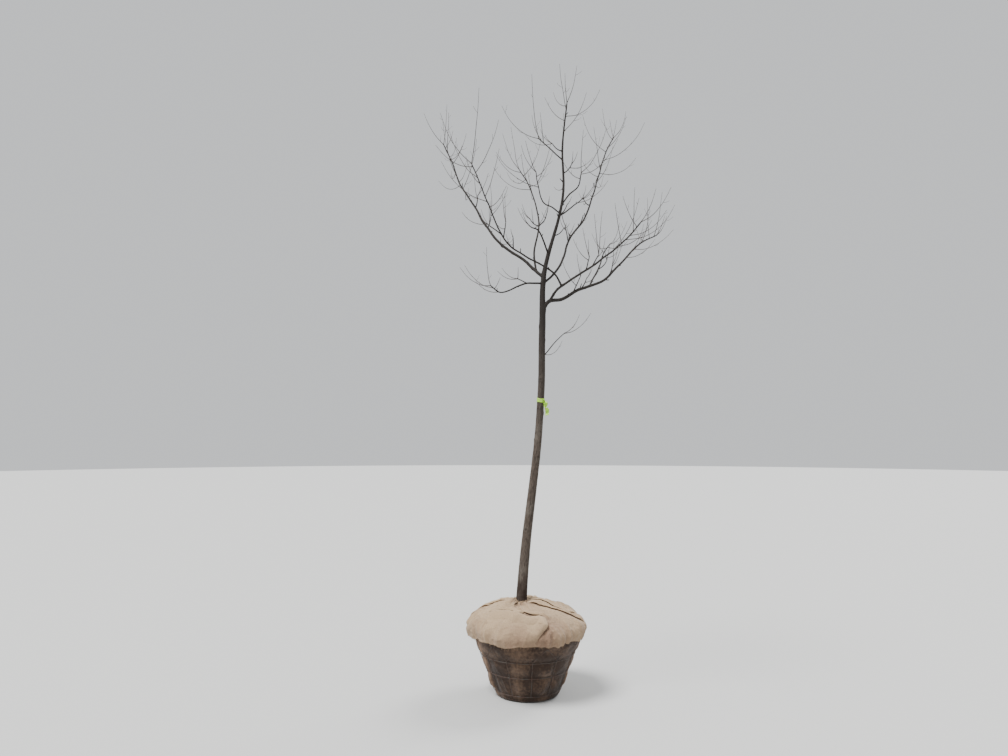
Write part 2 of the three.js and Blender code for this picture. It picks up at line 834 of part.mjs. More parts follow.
export default sapling;
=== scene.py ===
# A young shade tree on its root ball, dressed for a studio picture.
import math

import bpy
import numpy as np
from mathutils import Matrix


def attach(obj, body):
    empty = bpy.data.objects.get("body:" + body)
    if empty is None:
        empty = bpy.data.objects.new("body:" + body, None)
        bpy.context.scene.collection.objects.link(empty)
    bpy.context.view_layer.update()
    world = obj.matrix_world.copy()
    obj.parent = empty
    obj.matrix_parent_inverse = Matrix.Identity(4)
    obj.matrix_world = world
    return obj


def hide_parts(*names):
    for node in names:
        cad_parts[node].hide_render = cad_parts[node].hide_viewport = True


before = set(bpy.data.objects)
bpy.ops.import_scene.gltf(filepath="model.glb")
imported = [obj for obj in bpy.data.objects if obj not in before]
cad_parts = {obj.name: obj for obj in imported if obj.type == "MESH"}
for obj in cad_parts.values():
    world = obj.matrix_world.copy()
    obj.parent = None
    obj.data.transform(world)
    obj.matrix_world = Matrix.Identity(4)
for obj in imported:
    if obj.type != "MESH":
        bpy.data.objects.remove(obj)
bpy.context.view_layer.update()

# Root ball
# A ball of soil dug up with the roots and wrapped tightly in jute burlap. The cloth is damp and
# stained by the soil, pleats towards the foot, and bulges between the wires that hold it.

MM = 0.001
FULL_TURN = 2 * math.pi
AXIS_GAP = 2
BALL_COLUMNS = 480
BALL_FOOT_ROWS = 12
BALL_CORNER_ROWS = 8
BALL_SIDE_ROWS = 150
BALL_DOME_ROWS = 16
FOOT_RADIUS = 172
FOOT_CORNER = 24
FOOT_CORNER_HEIGHT = 20
SHOULDER_RADIUS = 342
SHOULDER_HEIGHT = 394
SEAT_HEIGHT = 522
RING_HEIGHTS = (40, 155, 250)
UPRIGHTS = 12
UPRIGHT_PITCH = FULL_TURN / UPRIGHTS
FIRST_UPRIGHT = math.radians(4)
# How far the burlap bulges in a cell of the basket, and how far from a wire it is held in.
BULGE = 9
PINCH = 26
# Widths and heights of the lumps of soil under the burlap.
SOIL_LUMPS = ((120, 6), (46, 3.2), (19, 1.3))
PLEATS_ROUND = 5.5
PLEAT_DEPTH = 8
PLEAT_TURN_HEIGHT = 900
PLEAT_CHANGE_HEIGHT = 210
PLEAT_FADE = (340, 90)
# The first two seams lie at the ball's left and right edges as seen from the front; their paleness is
# partly painted sky light on those edges.
SEAM_TURNS = (math.radians(199), math.radians(347), math.radians(92))
SEAM_WIDTH = 10
SEAM_OVERLAP = 27
SEAM_LIFT = 6
SEAM_SWAY = 0.03
SEAM_SWAY_HEIGHT = 60
CLOTH_RADIUS = 260
THREADS_PER_METRE = 470
CLEAN_JUTE = (0.45, 0.324, 0.2, 1)
DAMP_JUTE = (0.27, 0.172, 0.112, 1)
SOILED_JUTE = (0.04, 0.023, 0.015, 1)


def noise_at(points, lump, seed):
    """Smooth noise from -1 to 1 at points, with lumps of about that width."""
    spots = np.asarray(points, float) / lump
    corner = np.floor(spots).astype(np.int64)
    share = spots - corner
    share = share * share * (3 - 2 * share)
    total = np.zeros(spots.shape[:-1])
    for step in np.ndindex(2, 2, 2):
        whole = (corner + step).astype(np.uint64)
        code = whole[..., 0] * np.uint64(73856093) + whole[..., 1] * np.uint64(19349663)
        code = code + whole[..., 2] * np.uint64(83492791) + np.uint64(seed * 97531)
        code = (code ^ (code >> np.uint64(13))) * np.uint64(1274126177)
        code = (code ^ (code >> np.uint64(16))) * np.uint64(2246822519)
        value = ((code >> np.uint64(20)) & np.uint64(0xFFFF)) / 32767.5 - 1
        total += value * np.prod(np.where(step, share, 1 - share), axis=-1)
    return total


def smooth_step(low, high, value):
    """A share that eases from 0 to 1 while a value goes from low to high."""
    share = np.clip((value - low) / (high - low), 0, 1)
    return share * share * (3 - 2 * share)


def bell(offset, width):
    """A share that is 1 where the offset is 0 and dies away over about that width."""
    return np.exp(-(offset / width) ** 2)


def ridges(waves, sharpness):
    """Ridges where waves from -1 to 1 pass through 0, the narrower the sharper."""
    return np.clip(1 - sharpness * np.abs(waves), 0, 1)


def turn_from(angles, turn):
    """How far angles are from a turn, either way round."""
    return (angles - turn + math.pi) % FULL_TURN - math.pi


def xyz(x, y, z):
    """Points from three coordinates, each of which may be the same for many points."""
    return np.stack(np.broadcast_arrays(x, y, z), axis=-1)


def ring_points(angles, radius, height):
    """Points round the upright axis through the middle of the ball."""
    return xyz(radius * np.cos(angles), radius * np.sin(angles), height)


def tube_triangles(rows, columns, ring=False):
    """Triangles that join rows of corners, as a ring or with both ends closed."""
    row = np.arange(rows if ring else rows - 1)[:, None] * columns
    here = (row + np.arange(columns)).ravel()
    beside = (row + (np.arange(columns) + 1) % columns).ravel()
    ahead = (here + columns) % (rows * columns)
    ahead_beside = (beside + columns) % (rows * columns)
    sides = [
        np.stack([here, beside, ahead_beside], axis=1),
        np.stack([here, ahead_beside, ahead], axis=1),
    ]
    if ring:
        return np.concatenate(sides)
    corner = np.arange(columns)
    after = (corner + 1) % columns
    end = (rows - 1) * columns
    root = np.stack([np.full(columns, rows * columns), after, corner], axis=1)
    tip = np.stack([np.full(columns, rows * columns + 1), end + corner, end + after], axis=1)
    return np.concatenate([*sides, root, tip])


def unit(ways):
    """Vectors of length 1."""
    return ways / np.maximum(np.linalg.norm(ways, axis=-1, keepdims=True), 1e-9)


def outward_ways(grid):
    """The unit normals of a grid of points whose columns close on themselves."""
    around = np.roll(grid, -1, axis=1) - np.roll(grid, 1, axis=1)
    return unit(np.cross(around, np.gradient(grid, axis=0)))


def piece_of(name, points, faces, finish, cloth=None, soil=None):
    """A smooth-shaded mesh in metres, from points in millimetres and faces of one kind."""
    mesh = bpy.data.meshes.new(name)
    mesh.vertices.add(len(points))
    mesh.vertices.foreach_set("co", (np.asarray(points, float) * MM).ravel())
    mesh.loops.add(faces.size)
    mesh.loops.foreach_set("vertex_index", faces.ravel().astype(np.int32))
    mesh.polygons.add(len(faces))
    starts = np.arange(len(faces), dtype=np.int32) * faces.shape[1]
    mesh.polygons.foreach_set("loop_start", starts)
    mesh.update(calc_edges=True)
    mesh.polygons.foreach_set("use_smooth", np.ones(len(faces), dtype=bool))
    if cloth is not None:
        layer = mesh.uv_layers.new(name="cloth")
        layer.data.foreach_set("uv", (cloth * MM)[faces.ravel()].ravel())
    if soil is not None:
        shades = mesh.color_attributes.new(name="soil", type="FLOAT_COLOR", domain="POINT")
        shades.data.foreach_set("color", np.repeat(np.clip(soil, 0, 1)[:, None], 4, axis=1).ravel())
    mesh.materials.append(finish.material)
    mesh.validate()
    piece = bpy.data.objects.new(name, mesh)
    bpy.context.scene.collection.objects.link(piece)
    return piece


class Finish:
    """A material made of nodes, whose shader has some inputs that are the same all over."""

    def __init__(self, name, inputs):
        self.material = bpy.data.materials.new(name)
        self.material.use_nodes = True
        self.tree = self.material.node_tree
        self.shader = self.tree.nodes["Principled BSDF"]
        for socket, value in inputs.items():
            self.shader.inputs[socket].default_value = value

    def add(self, kind, inputs=(), **settings):
        """The outputs of a new node, with its settings made and its inputs set or linked."""
        made = self.tree.nodes.new(f"ShaderNode{kind}")
        for name, value in settings.items():
            setattr(made, name, value)
        for name, value in dict(inputs).items():
            if isinstance(value, bpy.types.NodeSocket):
                self.tree.links.new(value, made.inputs[name])
            else:
                made.inputs[name].default_value = value
        return made.outputs

    def place(self):
        """The place on the piece, in metres."""
        return self.add("TexCoord")["Object"]

    def soil(self):
        """The number from 0 to 1 that each corner of the piece carries."""
        return self.add("Attribute", attribute_name="soil")["Fac"]

    def noise(self, place, scale, detail):
        """Noise from 0 to 1, with about that many lumps to a metre."""
        return self.add("TexNoise", {"Vector": place, "Scale": scale, "Detail": detail})["Fac"]

    def math(self, operation, first, second, clamp=False):
        """The outcome of one sum."""
        return self.add("Math", {0: first, 1: second}, operation=operation, use_clamp=clamp)[0]

    def spread(self, value, low, high, to_low=0.0, to_high=1.0):
        """A value stretched so that low and high become two other numbers."""
        ends = {"From Min": low, "From Max": high, "To Min": to_low, "To Max": to_high}
        return self.add("MapRange", {"Value": value, **ends})["Result"]

    def blend(self, share, first, second, blend_type="MIX"):
        """The colour between two colours at a share."""
        inputs = {"Fac": share, "Color1": first, "Color2": second}
        return self.add("MixRGB", inputs, blend_type=blend_type)["Color"]

    def tint(self, colour, factor):
        """A colour made lighter or darker by a factor."""
        return self.blend(1.0, colour, factor, "MULTIPLY")

    def paint(self, colour):
        """Gives the shader its colour."""
        self.tree.links.new(colour, self.shader.inputs["Base Color"])

    def emboss(self, height, strength, distance):
        """Gives the shader its relief, of that distance in metres."""
        bump = self.add("Bump", {"Height": height, "Strength": strength, "Distance": distance})
        self.tree.links.new(bump["Normal"], self.shader.inputs["Normal"])


def burlap_finish(name, clean, soiled):
    """Coarse plain-woven jute whose threads stand out, mottled and darkened by each corner's number, which
    holds soil stains and painted light and shade.
    """
    sockets = {"Roughness": 0.95, "Sheen Weight": 0.12, "Specular IOR Level": 0.25}
    burlap = Finish(name, sockets)
    cloth = burlap.add("UVMap", uv_map="cloth")["UV"]
    place = burlap.place()
    threads = {"Vector": cloth, "Scale": THREADS_PER_METRE * math.pi / 10, "Distortion": 1.6}
    threads.update({"Detail": 2.0, "Detail Scale": 0.12})
    warp = burlap.add("TexWave", threads, wave_type="BANDS", bands_direction="X")["Fac"]
    weft = burlap.add("TexWave", threads, wave_type="BANDS", bands_direction="Y")["Fac"]
    weave = burlap.math("MAXIMUM", warp, weft)
    slubs = burlap.noise(cloth, 260.0, 3.0)
    blotches = burlap.spread(burlap.noise(place, 9.0, 5.0), 0.3, 0.7, -0.22, 0.22)
    specks = burlap.spread(burlap.noise(place, 70.0, 4.0), 0.35, 0.7, -0.12, 0.16)
    soil = burlap.math("ADD", specks, burlap.math("ADD", blotches, burlap.soil()), clamp=True)
    colour = burlap.tint(burlap.blend(soil, clean, soiled), burlap.spread(slubs, 0.3, 0.7, 0.78, 1.12))
    colour = burlap.tint(colour, burlap.spread(weave, 0.25, 0.85, 0.62, 1.0))
    burlap.paint(colour)
    burlap.emboss(burlap.math("ADD", slubs, weave), 0.7, 0.0007)
    return burlap


def ball_side(height):
    """The ball's half width at a height between its foot and its shoulder."""
    share = (height - FOOT_CORNER_HEIGHT) / (SHOULDER_HEIGHT - FOOT_CORNER_HEIGHT)
    corner = FOOT_RADIUS + FOOT_CORNER
    return corner + (SHOULDER_RADIUS - corner) * share


def ball_profile():
    """Radius and height of each row of the ball, from the middle of its foot to its top."""
    foot = [(radius, 0.0) for radius in np.linspace(AXIS_GAP, FOOT_RADIUS, BALL_FOOT_ROWS)]
    turns = np.linspace(0, math.pi / 2, BALL_CORNER_ROWS)[1:]
    corner = [(FOOT_RADIUS + FOOT_CORNER * math.sin(turn), FOOT_CORNER_HEIGHT * (1 - math.cos(turn)))
              for turn in turns]
    heights = np.linspace(FOOT_CORNER_HEIGHT, SHOULDER_HEIGHT, BALL_SIDE_ROWS)[1:]
    side = [(ball_side(height), height) for height in heights]
    rise = SEAT_HEIGHT - SHOULDER_HEIGHT
    dome = [(SHOULDER_RADIUS * math.cos(turn), SHOULDER_HEIGHT + rise * math.sin(turn))
            for turn in np.linspace(0, math.pi / 2, BALL_DOME_ROWS)[1:-1]]
    return np.array(foot + corner + side + dome + [(AXIS_GAP, SEAT_HEIGHT)])


def wire_slack(angle, height, radius):
    """How freely the burlap bulges, from 0 under a wire to 1 in the middle of a cell."""
    half_pitch = UPRIGHT_PITCH / 2
    off_upright = (angle - FIRST_UPRIGHT + half_pitch) % UPRIGHT_PITCH - half_pitch
    slack = np.where(height < RING_HEIGHTS[-1], 1 - bell(off_upright * radius, PINCH), 1)
    for ring in RING_HEIGHTS:
        slack = slack * (1 - bell(height - ring, PINCH))
    return slack


profile = ball_profile()
ball_angles = np.linspace(0, FULL_TURN, BALL_COLUMNS, endpoint=False)
ball_radius = profile[:, :1]
ball_height = profile[:, 1:]
ball_grid = ring_points(ball_angles, ball_radius, ball_height)
slack = wire_slack(ball_angles, ball_height, ball_radius)
pleat_turns = ball_angles + ball_height / PLEAT_TURN_HEIGHT
pleat_spots = ring_points(pleat_turns, PLEATS_ROUND, ball_height / PLEAT_CHANGE_HEIGHT)
pleats = ridges(noise_at(pleat_spots, 1, 11), 2.2) ** 1.5
pleats = pleats * smooth_step(*PLEAT_FADE, ball_height) * (0.6 + 0.4 * noise_at(ball_grid, 110, 12))
seams_and_edge_light = np.zeros(slack.shape)
for seam in SEAM_TURNS:
    sway = SEAM_SWAY * np.sin(ball_height / SEAM_SWAY_HEIGHT)
    off_seam = turn_from(ball_angles + sway, seam) * ball_radius
    seams_and_edge_light += bell(off_seam, SEAM_WIDTH) + bell(off_seam - SEAM_OVERLAP, SEAM_WIDTH)
ball_lift = BULGE * (slack - 0.25) + PLEAT_DEPTH * (pleats - 0.3) * (0.45 + 0.55 * slack)
ball_lift += SEAM_LIFT * seams_and_edge_light * smooth_step(30, 70, ball_height)
for number, (lump, height) in enumerate(SOIL_LUMPS):
    ball_lift += height * noise_at(ball_grid, lump, 21 + number) * (0.3 + 0.7 * slack)
on_side = smooth_step(2, 30, ball_height) * smooth_step(365, 325, ball_height)
ball_grid = ball_grid + outward_ways(ball_grid) * (ball_lift * on_side)[..., None]
ball_grid[..., 2] = np.maximum(ball_grid[..., 2], 0)
ball_cloth = np.stack(np.broadcast_arrays(ball_angles * CLOTH_RADIUS, ball_height), axis=-1)
# The cloth is palest on its lapped seams, partly as painted sky light at the ball's edges. Painted light
# and shade make it lighter on its pleats and bulges and darker where the wires pinch it, and painted
# shade darkens it just under the cap's hem. It is also darker towards the foot.
ball_stain_and_painted_light = 0.89 - 0.14 * pleats - 0.08 * slack - 0.75 * seams_and_edge_light + 0.22 * noise_at(ball_grid, 90, 31)
ball_stain_and_painted_light = ball_stain_and_painted_light + 0.1 * smooth_step(150, 10, ball_height)
ball_stain_and_painted_light = ball_stain_and_painted_light + 0.1 * smooth_step(330, 370, ball_height)

burlap_soiled = burlap_finish("soiled_burlap", DAMP_JUTE, SOILED_JUTE)
ball = piece_of(
    "burlap_ball",
    np.concatenate([ball_grid.reshape(-1, 3), [(0, 0, 0), (0, 0, SEAT_HEIGHT)]]),
    tube_triangles(len(profile), BALL_COLUMNS),
    burlap_soiled,
    cloth=np.concatenate([ball_cloth.reshape(-1, 2), [(0, 0), (0, 0)]]),
    soil=np.concatenate([ball_stain_and_painted_light.ravel(), [0.8, 0.8]]),
)
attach(ball, "root")
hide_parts("root_ball")

# Wire basket
# Three rings, twelve uprights and a zigzag of top loops of round low-carbon steel wire, welded
# where they cross. The wire is dull and brown with rust, and is never quite straight.

WIRE = 3.8
WIRE_SIDES = 10
WIRE_OFF_BURLAP = 2.4
WIRE_WANDER = 1.6
WIRE_WANDER_LENGTH = 60
UPRIGHT_END = 3
RING_POINTS = 240
UPRIGHT_POINTS = 48
LOOP_POINTS = 33
RING_SEED = 40
UPRIGHT_SEED = 43
LOOP_SEED = 46
LOOP_TOP_HEIGHT = 330
LOOP_ROUNDING = 0.1
DULL_STEEL = (0.09, 0.08, 0.072, 1)
RUST = (0.06, 0.028, 0.017, 1)


def spokes_of(across, beside, turns):
    """Ways that point out of an axis, for each of its stations and each turn about it."""
    return across[:, None] * np.cos(turns)[:, None] + beside[:, None] * np.sin(turns)[:, None]


def rod(path, radii, sides, ring=False):
    """Corners and triangles of a round rod along a path."""
    path = np.asarray(path, float)
    ahead = np.roll(path, -1, axis=0)
    behind = np.roll(path, 1, axis=0)
    if not ring:
        ahead[-1] = path[-1]
        behind[0] = path[0]
    way = unit(ahead - behind)
    least = 2 if ring else np.argmin(np.abs(way).mean(axis=0))
    across = unit(np.eye(3)[least] - way * way[:, least:least + 1])
    turns = np.linspace(0, FULL_TURN, sides, endpoint=False)
    radii = np.broadcast_to(np.asarray(radii, float), len(path))[:, None, None]
    corners = (path[:, None] + spokes_of(across, np.cross(way, across), turns) * radii).reshape(-1, 3)
    if not ring:
        corners = np.concatenate([corners, path[:1], path[-1:]])
    return corners, tube_triangles(len(path), sides, ring)


def joined(parts):
    """Corners and triangles of several meshes as those of one."""
    corners, triangles = zip(*parts)
    starts = np.cumsum([0] + [len(points) for points in corners])
    moved = [faces + start for faces, start in zip(triangles, starts)]
    return np.concatenate(corners), np.concatenate(moved)


def wire_along(angles, heights, seed, ring=False):
    """A wire laid round the ball, wandering a little in and out and up and down."""
    slant = math.hypot(1, (ball_side(SHOULDER_HEIGHT) - ball_side(0)) / SHOULDER_HEIGHT)
    radius = ball_side(heights) + (WIRE_OFF_BURLAP + WIRE / 2) * slant
    path = ring_points(angles, radius, heights)
    wander = [noise_at(path, WIRE_WANDER_LENGTH, seed + axis) for axis in range(3)]
    return rod(path + np.stack(wander, axis=-1) * WIRE_WANDER, WIRE / 2, WIRE_SIDES, ring)


ring_angles = np.linspace(0, FULL_TURN, RING_POINTS, endpoint=False)
upright_ends = (RING_HEIGHTS[0] - UPRIGHT_END, RING_HEIGHTS[-1] + UPRIGHT_END)
upright_heights = np.linspace(*upright_ends, UPRIGHT_POINTS)
loop_shares = np.linspace(-1, 1, LOOP_POINTS)
loop_falls = np.sqrt(loop_shares ** 2 + LOOP_ROUNDING ** 2) - LOOP_ROUNDING
loop_heights = LOOP_TOP_HEIGHT - (LOOP_TOP_HEIGHT - RING_HEIGHTS[-1]) * loop_falls
wires = [wire_along(ring_angles, height, RING_SEED, ring=True) for height in RING_HEIGHTS]
for number in range(UPRIGHTS):
    angle = FIRST_UPRIGHT + UPRIGHT_PITCH * number
    wires.append(wire_along(angle, upright_heights, UPRIGHT_SEED))
    loop_angles = angle + UPRIGHT_PITCH * (1 + loop_shares) / 2
    wires.append(wire_along(loop_angles, loop_heights, LOOP_SEED))

rusty_steel = Finish("rusty_wire", {"Roughness": 0.55})
rust_spots = rusty_steel.noise(rusty_steel.place(), 38.0, 6.0)
rust_colour = rusty_steel.blend(rusty_steel.spread(rust_spots, 0.42, 0.6), DULL_STEEL, RUST)
rusty_steel.paint(rust_colour)
rusty_steel.emboss(rust_spots, 0.5, 0.0005)
bare_share = rusty_steel.spread(rust_spots, 0.42, 0.6, 0.75, 0.1)
rusty_steel.tree.links.new(bare_share, rusty_steel.shader.inputs["Metallic"])
basket = piece_of("basket_wires", *joined(wires), rusty_steel)
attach(basket, "root")
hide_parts("wire_basket")

# Burlap cap
# A clean square of jute laid over the top of the ball with a slit for the trunk, gathered
# round it, folded over itself in long pleats and tucked in at the hem, which has frayed.

CAP_COLUMNS = 520
CAP_DOME_ROWS = 112
CAP_SKIRT_ROWS = 24
CAP_LINING_ROWS = 14
CAP_RADIUS = 355
CAP_RISE = 151
CAP_THICKNESS = 3
TRUNK_BASE_X = -36
COLLAR_RADIUS = 41
COLLAR_LIP = 14
LIP_CLOTH = 10
LEFT_LIP = 24
LIP_SHARES = (1.0, 0.8, 0.6, 0.4, 0.2)
HEM_HEIGHT = 350
HEM_SLOPE = 7
HEM_SAG = 6
HEM_WAVE = 6
HEM_WAVES = 7
# Widths, as shares of the cap's radius, and heights of the hem's smaller waves.
HEM_LUMPS = ((0.22, 5), (0.06, 3))
HEM_OUT = 20
HEM_TUCK = 10
CAP_LUMPS = ((170, 8), (80, 4.5), (36, 2.2), (15, 0.8))
SOFT_CREASES = 34
CREASE_STARTS = (90, 360)
CREASE_VEER = 0.7
CREASE_LENGTHS = (60, 150)
CREASE_BEND = 0.16
CREASE_WIDTHS = (14, 34)
CREASE_STEEP = 3.5
CREASE_HEIGHTS = (4, 9)
GATHER_HEIGHT = 11
GATHERS_ROUND = 3.2
GATHER_CHANGE = 190
COLLAR_DIP = 9
RUFFLE_HEIGHT = 18
RUFFLES_ROUND = 7.5
RUFFLE_CHANGE = 150
CRUMPLE_HEIGHT = 2.4
# Lines on the cloth laid flat, in millimetres from its middle. A fold lies to the left of its
# line and ends at it in a rolled edge; then follow how high it stands and how wide it is.
CAP_FOLDS = (
    (((34, -452), (57, -395), (86, -360), (108, -318), (100, -278), (70, -250), (9, -249), (-44, -234),
      (-84, -204), (-140, -170), (-215, -150), (-290, -150)), 20, 84),
    (((2, -34), (77, -60), (154, -92), (235, -102), (318, -84), (388, -74)), 14, 52),
    (((30, 12), (92, -20), (160, -46), (240, -50), (330, -22)), 9, 40),
    (((412, -178), (400, -150), (375, -112), (330, -84)), 9, 34),
    (((-300, -178), (-352, -120), (-398, -70), (-428, -30)), 8, 38),
    (((-410, 48), (-350, 44), (-285, 52), (-220, 40)), 17, 34),
    (((-255, -40), (-320, -32), (-372, -36), (-418, -52)), 15, 30),
    (((-66, -128), (-50, -84), (-36, -52), (-24, -30)), 14, 26),
    (((-262, -96), (-200, -106), (-150, -128), (-95, -160), (-50, -188), (9, -206), (66, -212),
      (112, -236)), 11, 40),
    (((-400, 52), (-250, 76), (-150, 62), (-74, 26)), 12, 52),
    (((20, 52), (60, 130), (70, 230), (40, 340), (50, 446)), 13, 56),
    (((360, 190), (300, 150), (220, 92), (140, 60)), 10, 44),
    (((-60, 66), (-110, 150), (-190, 260), (-262, 350)), 12, 52),
    (((210, 330), (160, 270), (130, 190)), 8, 36),
)
# Across a fold, from under its outer side over its top and its rolled edge to its underside:
# the share of its width, the share of its height, and how far the roll hangs over.
FOLD_SECTION = (
    (1, -0.3, 0), (0.8, 0.06, 0), (0.6, 0.3, 0), (0.42, 0.58, 0), (0.26, 0.82, 0), (0.14, 0.96, 0),
    (0.05, 1, 0), (0, 0.93, 2.5), (0, 0.8, 4.5), (0, 0.66, 3.5), (0.04, 0.5, 0), (0.2, -0.1, 0),
    (0.6, -0.35, 0),
)
FOLD_ROW = 5
FOLD_WANDER = 5
# Broad swells and hollows of the cap: where they are, how wide, and how high.
CAP_BUMPS = (
    (92, 20, 70, 10),
    (-290, 10, 60, 16),
    (250, 0, 80, -13),
    (-120, -30, 70, -6),
    (-90, -330, 110, 12),
    (200, -260, 70, -8),
)


def towards(turn, width, angles):
    """A share that is 1 on one side of the ball, at a turn in degrees, over about that width."""
    return bell(angles - math.radians(turn), width)


def noise_round(angles, lump, seed):
    """Noise that changes round the cap in lumps of about that share of its radius."""
    return noise_at(ring_points(angles, 1, 0), lump, seed)


def stain_and_shade_at(spots):
    """How dark the cap is towards its hem at spots on its cloth laid flat, most at the front: soil stain,
    and in part painted shade on the lower cloth.
    """
    turns = np.arctan2(spots[..., 1], spots[..., 0]) % FULL_TURN
    spread = 0.55 + 0.7 * towards(265, 0.55, turns) + 0.35 * noise_round(turns, 0.3, 75)
    return 0.55 * smooth_step(265, 450, np.hypot(spots[..., 0], spots[..., 1])) * spread


def fold_shape(spots, route, gentle, steep):
    """A fold's rise over spots: steep to the right of its route and gentle to its left."""
    rise = np.zeros(spots.shape[:-1])
    nearest = np.full(rise.shape, np.inf)
    legs = list(zip(np.array(route, float), np.array(route[1:], float)))
    for number, (start, end) in enumerate(legs):
        ahead_x, ahead_y = end - start
        off_x = spots[..., 0] - start[0]
        off_y = spots[..., 1] - start[1]
        share = np.clip((off_x * ahead_x + off_y * ahead_y) / (ahead_x ** 2 + ahead_y ** 2), 0, 1)
        gap_x = off_x - share * ahead_x
        gap_y = off_y - share * ahead_y
        gap = np.hypot(gap_x, gap_y)
        on_left = ahead_x * gap_y - ahead_y * gap_x > 0
        done = (number + share) / len(legs)
        fade = smooth_step(0, 0.18, done) * smooth_step(1, 0.86, done)
        here = fade * np.where(on_left, np.exp(-gap / gentle), bell(gap, steep))
        rise = np.where(gap < nearest, here, rise)
        nearest = np.minimum(gap, nearest)
    return rise


cap_angles = np.linspace(0, FULL_TURN, CAP_COLUMNS, endpoint=False)
dome_turns = math.acos(COLLAR_RADIUS / CAP_RADIUS) * (1 - np.linspace(0, 1, CAP_DOME_ROWS) ** 0.9)
dome_out = CAP_RADIUS * np.cos(dome_turns)[:, None]
dome_x = TRUNK_BASE_X * smooth_step(230, COLLAR_RADIUS, dome_out) + dome_out * np.cos(cap_angles)
dome_y = dome_out * np.sin(cap_angles)
from_axis = np.minimum(np.hypot(dome_x, dome_y) / CAP_RADIUS, 1)
dome_grid = xyz(dome_x, dome_y, SHOULDER_HEIGHT + CAP_RISE * np.sqrt(1 - from_axis ** 2))

hem_drop = HEM_SLOPE * np.cos(cap_angles) + HEM_SAG * np.cos(2 * cap_angles)
hem_heights = HEM_HEIGHT - hem_drop + HEM_WAVE * np.sin(HEM_WAVES * cap_angles)
for number, (lump, height) in enumerate(HEM_LUMPS):
    hem_heights = hem_heights + height * noise_round(cap_angles, lump, 60 + number)
hem_out = HEM_OUT - HEM_TUCK * np.clip(np.cos(cap_angles), 0, 1)
skirt_share = np.linspace(0, 1, CAP_SKIRT_ROWS + 1)[1:, None]
skirt_out = CAP_RADIUS + (ball_side(hem_heights) + hem_out - CAP_RADIUS) * skirt_share ** 1.3
skirt_heights = SHOULDER_HEIGHT + (hem_heights - SHOULDER_HEIGHT) * skirt_share
skirt_grid = ring_points(cap_angles, skirt_out, skirt_heights)

left_peak = towards(196, 0.5, cap_angles)
lip_heights = COLLAR_LIP * (0.5 + 0.5 * noise_round(cap_angles, 0.4, 62)) + LEFT_LIP * left_peak
lip_shares = np.array(LIP_SHARES)[:, None]
lip_out = COLLAR_RADIUS - 3 * lip_shares + 4 * left_peak * lip_shares
lip_rise = dome_grid[0, :, 2] + np.maximum(lip_heights, 2) * lip_shares
lip_grid = ring_points(cap_angles, lip_out, lip_rise) + (TRUNK_BASE_X, 0, 0)

cap_grid = np.concatenate([lip_grid, dome_grid, skirt_grid])
cap_ways = -outward_ways(cap_grid)
row_gaps = np.linalg.norm(np.diff(cap_grid, axis=0), axis=-1).mean(axis=1)
arc = np.concatenate([[0], np.cumsum(row_gaps)]) + COLLAR_RADIUS - LIP_CLOTH
cap_cloth = np.stack([arc[:, None] * np.cos(cap_angles), arc[:, None] * np.sin(cap_angles)], axis=-1)
from_trunk = np.hypot(cap_grid[..., 0] - TRUNK_BASE_X, cap_grid[..., 1])
cap_lift = np.zeros(from_trunk.shape)
crease_dirt_and_painted_light = np.zeros(from_trunk.shape)
for number, (lump, height) in enumerate(CAP_LUMPS):
    cap_lift += height * noise_at(cap_grid, lump, 63 + number)

# Soft creases run outwards at random, painted a little paler where they rise as painted light. Then comes
# the valley along the rolled edge of each fold, painted darker behind the fold as painted shade with some
# dirt.
crease_draws = np.random.default_rng(8)
for _ in range(SOFT_CREASES):
    turn = crease_draws.uniform(0, FULL_TURN)
    start = crease_draws.uniform(*CREASE_STARTS) * np.array([math.cos(turn), math.sin(turn)])
    heading = turn + crease_draws.normal(0, CREASE_VEER)
    length = crease_draws.uniform(*CREASE_LENGTHS)
    aim = np.array([math.cos(heading), math.sin(heading)]) * length
    bend = np.array([-aim[1], aim[0]]) * crease_draws.normal(0, CREASE_BEND)
    route = [start, start + aim * 0.5 + bend, start + aim]
    crease = fold_shape(cap_cloth, route, crease_draws.uniform(*CREASE_WIDTHS), CREASE_STEEP)
    cap_lift += crease * crease_draws.uniform(*CREASE_HEIGHTS)
    crease_dirt_and_painted_light += crease * 0.05
for route, height, width in CAP_FOLDS:
    cap_lift -= 0.6 * height * fold_shape(cap_cloth, route[::-1], 1.9 * height, 10)
    crease_dirt_and_painted_light -= 0.036 * height * fold_shape(cap_cloth, route[::-1], 0.14 * height ** 2, 7)

# The cloth is gathered at the trunk, ruffled at the rim, and crumpled all over.
flat_ways = unit(cap_cloth)
gather_spots = np.concatenate([flat_ways * GATHERS_ROUND, from_trunk[..., None] / GATHER_CHANGE], axis=-1)
gathers = ridges(noise_at(gather_spots, 1, 71), 2.2)
cap_lift += GATHER_HEIGHT * gathers * smooth_step(41, 62, from_trunk) * smooth_step(200, 80, from_trunk)
dip = COLLAR_DIP * smooth_step(130, 60, from_trunk)
cap_lift -= dip * (0.4 + 0.6 * towards(262, 0.5, cap_angles))
for bump_x, bump_y, width, height in CAP_BUMPS:
    cap_lift += height * bell(np.hypot(cap_grid[..., 0] - bump_x, cap_grid[..., 1] - bump_y), width)
ruffle_ways = flat_ways * RUFFLES_ROUND
ruffle_spots = xyz(ruffle_ways[..., 0], ruffle_ways[..., 1], arc[:, None] / RUFFLE_CHANGE)
ruffles = ridges(noise_at(ruffle_spots, 1, 72), 1.8)
at_rim = smooth_step(300, 372, arc)[:, None]
cap_lift += RUFFLE_HEIGHT * (ruffles - 0.4) * at_rim * (0.45 + 0.55 * np.cos(cap_angles) ** 2)
